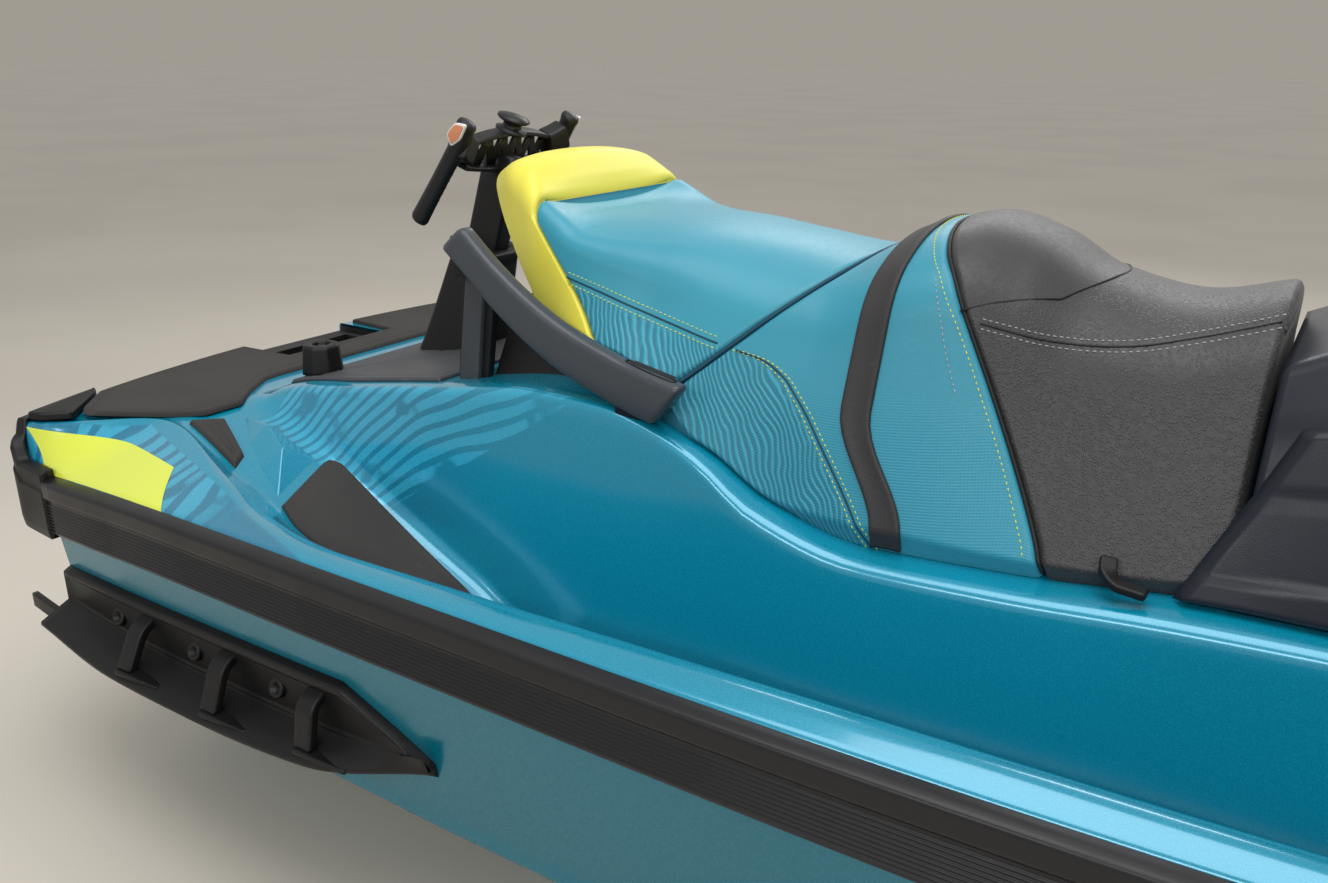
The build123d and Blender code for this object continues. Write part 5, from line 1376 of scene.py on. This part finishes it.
def make_anchor():
    """An accessory anchor: an eight-sided post whose sides lean in, with soft edges."""
    turn = np.linspace(0, 2 * pi, 8, endpoint=False) + pi / 8
    base = ridge_level(np.array(376.0), 0) + 6
    plan = ring(np.column_stack((np.cos(turn), np.sin(turn))) * 33, 3, 3, 4)
    rows = ((1.02, -6), (1.0, 0), (0.90, 34), (0.87, 38), (0.80, 40), (0.46, 40), (0.44, 37), (0.42, 33),
            (0.05, 33))
    return np.stack([tier(plan * size, h) for size, h in rows]) + (345, -215, base)


points, keep = make_rear_panel()
wall(sheet("rear_panel", points, DARK_GREY, "panel_plastic", "rear_deck_panel", keep=keep), 5)
both(closed, "anchor_post_{}", make_anchor(), BLACK, "black_plastic", "anchor_{}")
dress(BLACK, "boarding_step")

MAST = radians(18)
COLLAR_STATION, COLLAR_HEIGHT = 512, 786
HEAD_BREADTH = 0.82
RAIL_HALF = 118


def on_mast(points):
    """What is drawn about the pylon's collar, leaning forward with the mast."""
    points = np.asarray(points, float)
    x, y, z = points[..., 0], points[..., 1], points[..., 2]
    return np.stack((COLLAR_STATION + x * cos(MAST) + z * sin(MAST), y,
                     COLLAR_HEIGHT - x * sin(MAST) + z * cos(MAST)), axis=-1)


def mast_part(name, points, finish=ALLOY_BLACK, *nodes):
    """A closed piece of the pylon's head, drawn in to the head's real breadth."""
    head = np.asarray(points, float) * (1, HEAD_BREADTH, 1)
    closed(name, on_mast(head), finish, "pylon_alloy", *nodes, body="pylon")


def mast_sides(name, points, finish=ALLOY_BLACK):
    """A starboard piece of the head and its port image; the braces in its name take the side."""
    for side, turn in SIDES:
        mast_part(name.format(side), points * (1, turn, 1), finish)


def bowed(breadth, middle, rise):
    """Height of a curved rail of the head: level in the middle, and a rise more at its ends."""
    return middle + rise * (breadth / RAIL_HALF)**2


def make_tower():
    """The pylon's tower: soft-cornered oblongs that draw in upwards on a hollow curve, with a
    collar on top, then down again inside as the mast's bore."""
    rows = []
    for share in np.linspace(0, 1, 14):
        narrow = share**0.8
        rows.append((52 - 14 * narrow, 60 - 20 * narrow, -205 + 193 * share, 10))
    rows += [(43, 45, -12, 10), (44.5, 46.5, -10, 10), (44.5, 46.5, -2, 10), (42, 44, 0, 9),
             (29, 27, 0, 6), (26, 24, -3, 5), (25.6, 23.6, -40, 5)]
    return on_mast(np.stack([tier(bar_section(a * 2, b * 2, edge), h) for a, b, h, edge in rows]))


def make_lattice():
    """The head's open web: struts that zigzag across the boat between two curved rails."""
    y = np.linspace(-RAIL_HALF, RAIL_HALF, 13)
    z = np.where(np.arange(len(y)) % 2 == 0, bowed(y, 133, 7), bowed(y, 181, -14))
    ends = np.column_stack((0 * y, y, z))
    for k in range(len(y) - 1):
        path = np.linspace(ends[k], ends[k + 1], 4)
        mast_part("web_%02d" % k, sweep(path, bar_section(17, 5, 1.8), up=(1, 0, 0.001)))


def make_handle():
    """A handle of the head: a round bar that swells a little at its ends, bent at the top."""
    path = smooth_path(((15, -147, 205), (8, -148, 175), (-34, -156, 44)), 30, 30)
    share = np.linspace(0, 1, len(path))
    girth = 14.5 + 1.5 * step_up(share, 0.05, 0.0) - 1.2 * np.sin(pi * share)
    return soft_ends(sweep(path, circle(1, 20), up=(1, 0, 0.2), scale=girth), 7)


def make_handle_rib(k, height):
    """A raised rib across the handle's outer side, slanted one way or the other by turns."""
    x, y = np.interp(height, (56, 175), (-30, 8)), np.interp(height, (56, 175), (-154, -148))
    crest = height + (4 if k % 2 else -4)
    path = smooth_path(((x - 9, y + 11, height), (x, y + 15.5, crest), (x + 9, y + 11, height)), 7, 3)
    return sweep(path, circle(1.3, 6))


mast_path = np.linspace((0, 0, -155), (0, 0, 150), 6)
mast = sweep(mast_path, bar_section(46, 50 / HEAD_BREADTH, 8), up=(1, 0, 0))
mast_part("mast", mast, ALLOY_BLACK, "pylon")
piece(grid("tower", make_tower(), around=True), ALLOY_BLACK, "pylon_alloy", "pylon_base")
across = np.linspace(-122, 122, 40)
for name, middle, rise, width, height in (("rail_low", 130, 7, 30, 7), ("rail_high", 184, -14, 24, 7)):
    path = np.column_stack((0 * across, across, bowed(across, middle, rise)))
    mast_part(name, soft_ends(sweep(path, bar_section(width, height, 3)), 2))
make_lattice()
SPOOL = (
    (184, 26), (188, 26), (190, 16), (199, 15), (201, 24), (204, 27.5), (207, 26), (209.5, 15), (210.5, 5),
    (210.6, 0.1),
)
mast_part("spool", turned(SPOOL, (0, 0, 0), (0, 0, 1), 32))
mast_sides("handle_{}", make_handle())
for k, height in enumerate(np.linspace(78, 160, 8)):
    mast_sides("handle_rib_{}_%d" % k, make_handle_rib(k, height))
arm = smooth_path(((0, -112, 160), (4, -132, 168), (8, -146, 176)), 14, 10)
mast_sides("handle_arm_{}", soft_ends(sweep(arm, bar_section(34, 40, 8)), 2))
rim = np.array(((-6, 186), (6, 207), (27, 211), (20, 186), (6, 171)), float)
face = rim + ((9, 191) - rim) * 0.17
mast_sides("reflector_rim_{}", slab(rim, -6, 0, 1.5, 6, upright(-160)), BEZEL)
mast_sides("reflector_face_{}", slab(face, -7, -4, 0.8, 5, upright(-160)), REFLECTOR)


# Bow, console and steering

LID_TOP = ((2160, 0, 930), (2350, 0, 905), (2600, 0, 852), (2900, 0, 776), (3140, 0, 706))
LID_SHOULDER = ((2160, 150, 915), (2350, 165, 885), (2600, 165, 832), (2900, 115, 758), (3140, 60, 700))
LID_WAIST = ((2160, 240, 800), (2350, 262, 790), (2600, 262, 768), (2900, 190, 726), (3140, 112, 694))
CONSOLE_TOP = ((1660, 150, 800), (1800, 150, 868), (1960, 140, 915), (2150, 150, 935))
CONSOLE_WAIST = ((1660, 190, 740), (1800, 205, 775), (1960, 212, 800), (2150, 230, 810))
CONSOLE_FOOT = ((1660, 252, 600), (1800, 258, 612), (1960, 262, 620), (2150, 262, 628))
GLOVEBOX_AFT, GLOVEBOX_FRONT, GLOVEBOX_HALF, GLOVEBOX_LOW = 1700, 1856, 112, 780


def make_lid():
    """The front lid: foot, waist, shoulder and crown lines joined at each station on soft
    corners, with a shallow channel down each shoulder."""
    s = np.linspace(2161, 3139, 110)
    lines = (RIDGE, LID_WAIST, LID_SHOULDER, LID_TOP)
    ridge, waist, shoulder, top = (line_at(rows, s).T for rows in lines)
    half = pairs((ridge[0] - 2, ridge[1] + 4), (waist[0] - 1, waist[1] - 2),
                 (shoulder[0] + 14, shoulder[1] - 16), (shoulder[0] + 7, shoulder[1] - 13),
                 (shoulder[0] - 4, shoulder[1] - 1),
                 (shoulder[0] * 0.42, top[1] - 3), (top[0], top[1] - 0.5))
    return with_station(s, rounded(both_halves(half), [30, 5, 5, 14, 90, 120, 90, 14, 5, 5, 30], 5, 5))


def make_console():
    """The console's cover: foot, waist and top lines with a dished middle, on soft corners, left
    open over the glovebox."""
    s = np.linspace(1661, 2149, 70)
    foot, waist, top = (line_at(rows, s).T for rows in (CONSOLE_FOOT, CONSOLE_WAIST, CONSOLE_TOP))
    half = pairs((foot[0], line_at(RIDGE, s)[:, 1] + 4), waist, (top[0] - 1, top[1] - 1),
                 (top[0] * 0.8, top[1] - 1.5), (top[0] * 0, top[1] - 1.5))
    points = with_station(s, rounded(both_halves(half), [24, 16, 10, 60, 10, 16, 24], 7, 5))
    x, y, z = cell_middles(points)
    opening = (x > GLOVEBOX_AFT) & (x < GLOVEBOX_FRONT) & (y < GLOVEBOX_HALF) & (z > GLOVEBOX_LOW)
    return points, ~opening


def make_side_panel():
    """The console's side panel: the skin between foot and waist, lifted by 14 mm, with a rolled
    edge all round, a raised lower band and a crease that rises forward. Its aft edge slants."""
    t = eased(44)
    aft = 1612 + 78 * t
    s = aft + (2149 - aft) * np.linspace(0, 1, 66)[:, None]
    foot, waist = line_at(CONSOLE_FOOT, s), line_at(CONSOLE_WAIST, s)
    foot_z = line_at(RIDGE, s)[..., 1] + 7
    y = foot[..., 0] + (waist[..., 0] - foot[..., 0]) * t
    z = foot_z + (waist[..., 1] + 6 - foot_z) * t
    depth = 190
    rim = np.minimum(np.minimum((s - aft) * 0.9, s[-1] - s), np.minimum(t, 1 - t) * depth)
    lift = 14 * rolled(rim, 9)
    ahead = s - 1663
    band = 2.5 * step_up(t * depth - 30 - ahead * 0.05, 0, 5)
    crease = 2.0 * bell(z - 690 - ahead * 0.16, 6)
    return np.stack((s, -(y + 0.5 + lift - band - crease), z), axis=-1)


def make_nose():
    """The nose panel: a low crowned strip that narrows to the stem, with a rolled edge."""
    s = np.linspace(3151, 3425, 40)
    half = line_at(RIDGE, s)[:, 0] * 0.94
    low = line_at(RIDGE, s)[:, 1] + 3.4
    across = np.sin(np.linspace(-pi / 2, pi / 2, 41))
    ends = rolled(np.minimum(s - s[0], s[-1] - s), 14)[:, None]
    crown = 24 * (1 - np.abs(across)**3.2) * ends
    return np.stack((s[:, None] + 0 * crown, half[:, None] * across, low[:, None] + crown), axis=-1)


wall(sheet("front_lid", make_lid(), DECK_PAINT, "deck_gelcoat", "storage_lid", body="storage_lid"), 6)
points, keep = make_console()
wall(sheet("console_cover", points, NAVY, "panel_plastic", "console", keep=keep), 5)
rim = points[-1] * (1, 0.985, 1) - (3, 0, 2)
bulkhead = mesh_of("console_bulkhead", placed(rim), [list(range(len(rim)))[::-1]])
wall(piece(bulkhead, NAVY, "panel_plastic"), 3)
sheet("nose_cover", make_nose(), DECK_PAINT, "deck_gelcoat", "nose_panel")
both(sheet, "console_side_{}", make_side_panel(), NAVY, "panel_plastic", "console_panel_{}", out=(0, -1, 0.3))
dress(BLACK, "storage_bin")
dress(NAVY, "glovebox_lid")
dress(SCREEN, "gauge")
dress(ALLOY_BLACK, "handlebar", "lever_starboard", "lever_port")
dress(BLACK, "mirror_starboard", "mirror_port")

RAKE = radians(24)
COLUMN = np.array((1965.0, 0, 1062))


def on_column(points):
    """What is drawn about the handlebar's middle: across the boat, forward and along the column."""
    points = np.asarray(points, float)
    across, ahead, up = points[..., 0], points[..., 1], points[..., 2]
    return COLUMN + np.stack((ahead * cos(RAKE) - up * sin(RAKE), across,
                              ahead * sin(RAKE) + up * cos(RAKE)), axis=-1)


def make_steering_pad():
    """The pad over the handlebar: soft oblongs stacked along the column, swelling in the middle
    of its height and crowned on top."""
    rows = ((0.80, 8), (0.93, 9), (1.0, 14), (1.01, 22), (0.95, 32), (0.84, 40), (0.70, 44.5), (0.45, 47.5),
            (0.2, 48.6), (0.02, 49))
    return on_column(np.stack([tier(bar_section(186 * k, 88 * k, 24 * k), h) for k, h in rows]))


def make_grip():
    """A handlebar grip: a tube whose radius is rippled by rounded rings, with an end flange."""
    outer, inner = np.array((1925.0, -385, 1070)), np.array((1965.0, -130, 1076))
    way = unit(outer - inner)
    run = np.concatenate((np.linspace(0, 120, 121), (122, 124, 126, 129, 131, 132)))
    path = outer - way * 128 + way * run[:, None]
    girth = 16.0 + 0.9 * np.abs(np.sin(run / 8 * pi)) * (run < 118)
    girth[-6:] = (17.5, 19.5, 20.5, 20, 17, 12)
    girth[:3] = (13, 15, 16)
    return sweep(path, circle(1, 22), scale=girth)


def make_mirror_face():
    """The mirror's glass: a soft-cornered plate that looks aft and a little inwards."""
    plate = slab(((-44, -29), (44, -29), (44, 29), (-44, 29)), 0, 2.5, 1, 16)
    across, up, depth = np.moveaxis(plate, -1, 0)
    return np.stack((2089.5 - depth, -320 + across * cos(radians(8)), 838 + up), axis=-1)


pad = closed("bar_pad", make_steering_pad(), SEAT_BLACK, "seat_black", "steering_pad", body="handlebar")
both(closed, "grip_{}_rings", make_grip(), GRIP, "grip_rubber", "grip_{}", body="handlebar")
both(closed, "mirror_face_{}", make_mirror_face(), GLASS, "mirror_glass")


# Below the deck

SPONSON_AFT, SPONSON_FRONT = 152, 915
SPONSON_TOP = ((152, 340), (486, 355), (779, 368), (859, 331), (915, 300))
SPONSON_FIN = ((152, 70, 262), (354, 82, 250), (557, 79, 253), (752, 67, 263), (915, 14, 290))
HOOK_STATIONS = (359, 546, 722)


def hull_side(s, height):
    """Half-breadth of the hull's flat side at a height between chine and rail."""
    chine, chine_height, side, rail = hull_line(s)[1:]
    return chine + (side - chine) * (height - chine_height) / (rail - SIDE_DROP - chine_height)


def sponson_top(s):
    """Height of the sponson pad's upper edge."""
    return np.interp(s, *np.array(SPONSON_TOP, float).T)


def make_sponson():
    """The sponson: a section of pad, slope and fin at each station, soft at every corner, with a
    raised border along the pad's edges."""
    s = np.concatenate((np.linspace(SPONSON_AFT, 790, 60), np.linspace(800, SPONSON_FRONT, 16)))
    top = sponson_top(s)
    reach, fin = line_at(SPONSON_FIN, s).T
    at_top, at_fin = hull_side(s, top) + 0.8, hull_side(s, fin - 12) + 0.8
    border = 2.6 * step_up(s - SPONSON_AFT, 0, 8) * step_up(SPONSON_FRONT - s, 0, 60)
    a, b = np.stack((at_top + 13, top - 6), -1), np.stack((at_fin + 24, fin + 26), -1)
    down = unit(b - a)
    rim, foot = a + (b - a) * 0.14, a + (b - a) * 0.90
    step = border[:, None] * np.stack((-down[:, 1], down[:, 0]), -1)
    tip = at_fin + reach
    skin = np.stack((a, rim, rim + down * 3 - step, foot - step, foot + down * 3, b), axis=1)
    edge = pairs((tip, fin + 7), (tip, fin), (at_fin, fin - 12))
    corners = np.concatenate((pairs((at_top, top)), skin, edge), axis=1)
    section = ring(corners, (2, 4, 1.5, 1.5, 1.5, 1.5, 8, 3, 3, 3), 2, 3)
    return with_station(s, section * (-1, 1))


def make_hook(start):
    """A hook's two pieces: a flat bar from the pad down to the fin's edge, and a foot along it."""
    mid = start + 17
    top = sponson_top(mid) - 26
    reach, fin = line_at(SPONSON_FIN, np.array([mid]))[0]
    root = hull_side(np.array([mid]), top)[0]
    edge = hull_side(np.array([mid]), fin - 12)[0] + reach - 14
    arm = ((mid - 4, -root - 8, top), (mid - 2, -root - 30, top - 10), (mid, -edge, fin + 17))
    foot = ((mid - 10, -edge, fin + 12), (mid + 26, -edge, fin + 12), (mid + 70, -edge + 3, fin + 11))
    taper = np.linspace(1.0, 0.62, 14)
    return (soft_ends(sweep(smooth_path(arm, 24, 12), bar_section(13, 30, 4), up=(1, 0, 0.001)), 2),
            soft_ends(sweep(smooth_path(foot, 14, 6), bar_section(24, 11, 3.5), scale=taper), 2))


def make_sponson_bolt(station):
    """A bolt's broad head with a sunk socket: a turned profile on the pad."""
    top = sponson_top(station) - 44
    y = hull_side(np.array([station]), top)[0] + 17
    profile = ((-6, 13), (1.5, 13), (3, 11.5), (3, 8), (-2, 7), (-3, 3), (-3, 0.01))
    return turned(profile, (station, -y, top), (0, -1, 0.35))


both(closed, "sponson_pad_{}", make_sponson(), BLACK, "black_plastic", "sponson_{}")
for k, start in enumerate(HOOK_STATIONS):
    parts = (*make_hook(start), make_sponson_bolt(start - 64))
    for name, points in zip(("hook", "hook_foot", "sponson_bolt"), parts):
        both(closed, name + "_{}_%d" % k, points, BLACK, "black_plastic")
tab = smooth_path(((60, -578, 262), (110, -584, 262), (156, -590, 263)), 12, 5)
both(closed, "stern_tab_{}", soft_ends(sweep(tab, bar_section(10, 24, 3)), 2), BLACK, "black_plastic")
dress(BLACK, "ride_plate", "intake_grate")
dress(PUMP_METAL, "pump_housing", "nozzle", "reverse_gate")
dress(IMPELLER_METAL, "impeller")
dress(ENGINE_PAINT, "engine")
dress(EYE_METAL, "bow_eye", "stern_eye_starboard", "stern_eye_port")


# Floor, light and camera

def make_stage():
    """A pale floor just below the keel, where the craft stands ashore."""
    mesh = bpy.data.meshes.new("floor")
    reach, level = 60, -0.272
    corners = [(x * reach, y * reach, level) for x, y in ((-1, -1), (1, -1), (1, 1), (-1, 1))]
    mesh.from_pydata(corners, [], [(0, 1, 2, 3)])
    made, tree, shader, where = new_finish("floor_paint", (0.56, 0.52, 0.46), 0.5)
    clouds = use(tree, SCUFFS, where, 2)
    tint = blend(tree, times(tree, clouds["Clouds"], 0.5), (0.60, 0.56, 0.49), (0.52, 0.48, 0.42))
    feed(tree, tint, shader, "Base Color")
    mesh.materials.append(made)
    floor = bpy.data.objects.new("floor", mesh)
    bpy.context.collection.objects.link(floor)


def lamp(name, place, aim, size, power):
    """An oblong lamp at a place, aimed at a point."""
    light = bpy.data.lights.new(name, "AREA")
    light.shape = "RECTANGLE"
    light.size, light.size_y = size
    light.energy = power
    made = bpy.data.objects.new(name, light)
    made.location = place
    made.rotation_euler = (Vector(aim) - Vector(place)).to_track_quat("-Z", "Y").to_euler()
    bpy.context.collection.objects.link(made)


def make_light():
    """A pale sky all round, one broad soft lamp above and two long ones for the highlights."""
    world = bpy.data.worlds.new("room")
    bpy.context.scene.world = world
    world.use_nodes = True
    tree = world.node_tree
    tree.nodes["Background"].inputs["Color"].default_value = (0.86, 0.84, 0.81, 1)
    tree.nodes["Background"].inputs["Strength"].default_value = 0.62
    seen = add(tree, "ShaderNodeBackground", Color=(0.356, 0.332, 0.292, 1), Strength=1.0)
    either = add(tree, "ShaderNodeMixShader", Fac=add(tree, "ShaderNodeLightPath").outputs["Is Camera Ray"])
    tree.links.new(tree.nodes["Background"].outputs[0], either.inputs[1])
    tree.links.new(seen.outputs[0], either.inputs[2])
    tree.links.new(either.outputs[0], tree.nodes["World Output"].inputs["Surface"])
    lamp("overhead", (-0.2, -0.6, 3.6), (0, 0, 0), (3.0, 3.0), 95)
    lamp("long_starboard", (0.4, -3.6, 2.3), (0.2, 0, 0.2), (4.2, 0.5), 55)
    lamp("long_port", (-0.4, 3.4, 2.6), (0, 0, 0.2), (4.2, 0.7), 55)


def make_camera():
    """The camera at the photograph's place: yaw, pitch and roll about its place, with no shift."""
    yaw, pitch, roll = 2.14375171, -0.34385496, 0.01032905
    focal, picture_width = 1097.0519, 1328
    ahead = np.array((cos(pitch) * cos(yaw), cos(pitch) * sin(yaw), sin(pitch)))
    right = unit(np.cross(ahead, (0, 0, 1)))
    up = np.cross(right, ahead)
    turned_right = cos(roll) * right + sin(roll) * up
    turned_up = cos(roll) * up - sin(roll) * right
    data = bpy.data.cameras.new("camera")
    data.sensor_width = 36
    data.lens = data.sensor_width * focal / picture_width
    data.clip_start = 0.02
    made = bpy.data.objects.new("camera", data)
    turn = Matrix(np.column_stack((turned_right, turned_up, -ahead)).tolist()).to_4x4()
    made.matrix_world = Matrix.Translation((0.11418, -1.33388, 0.81257)) @ turn
    bpy.context.collection.objects.link(made)
    bpy.context.scene.camera = made


make_stage()
make_light()
make_camera()
bpy.context.scene.view_settings.view_transform = "Standard"
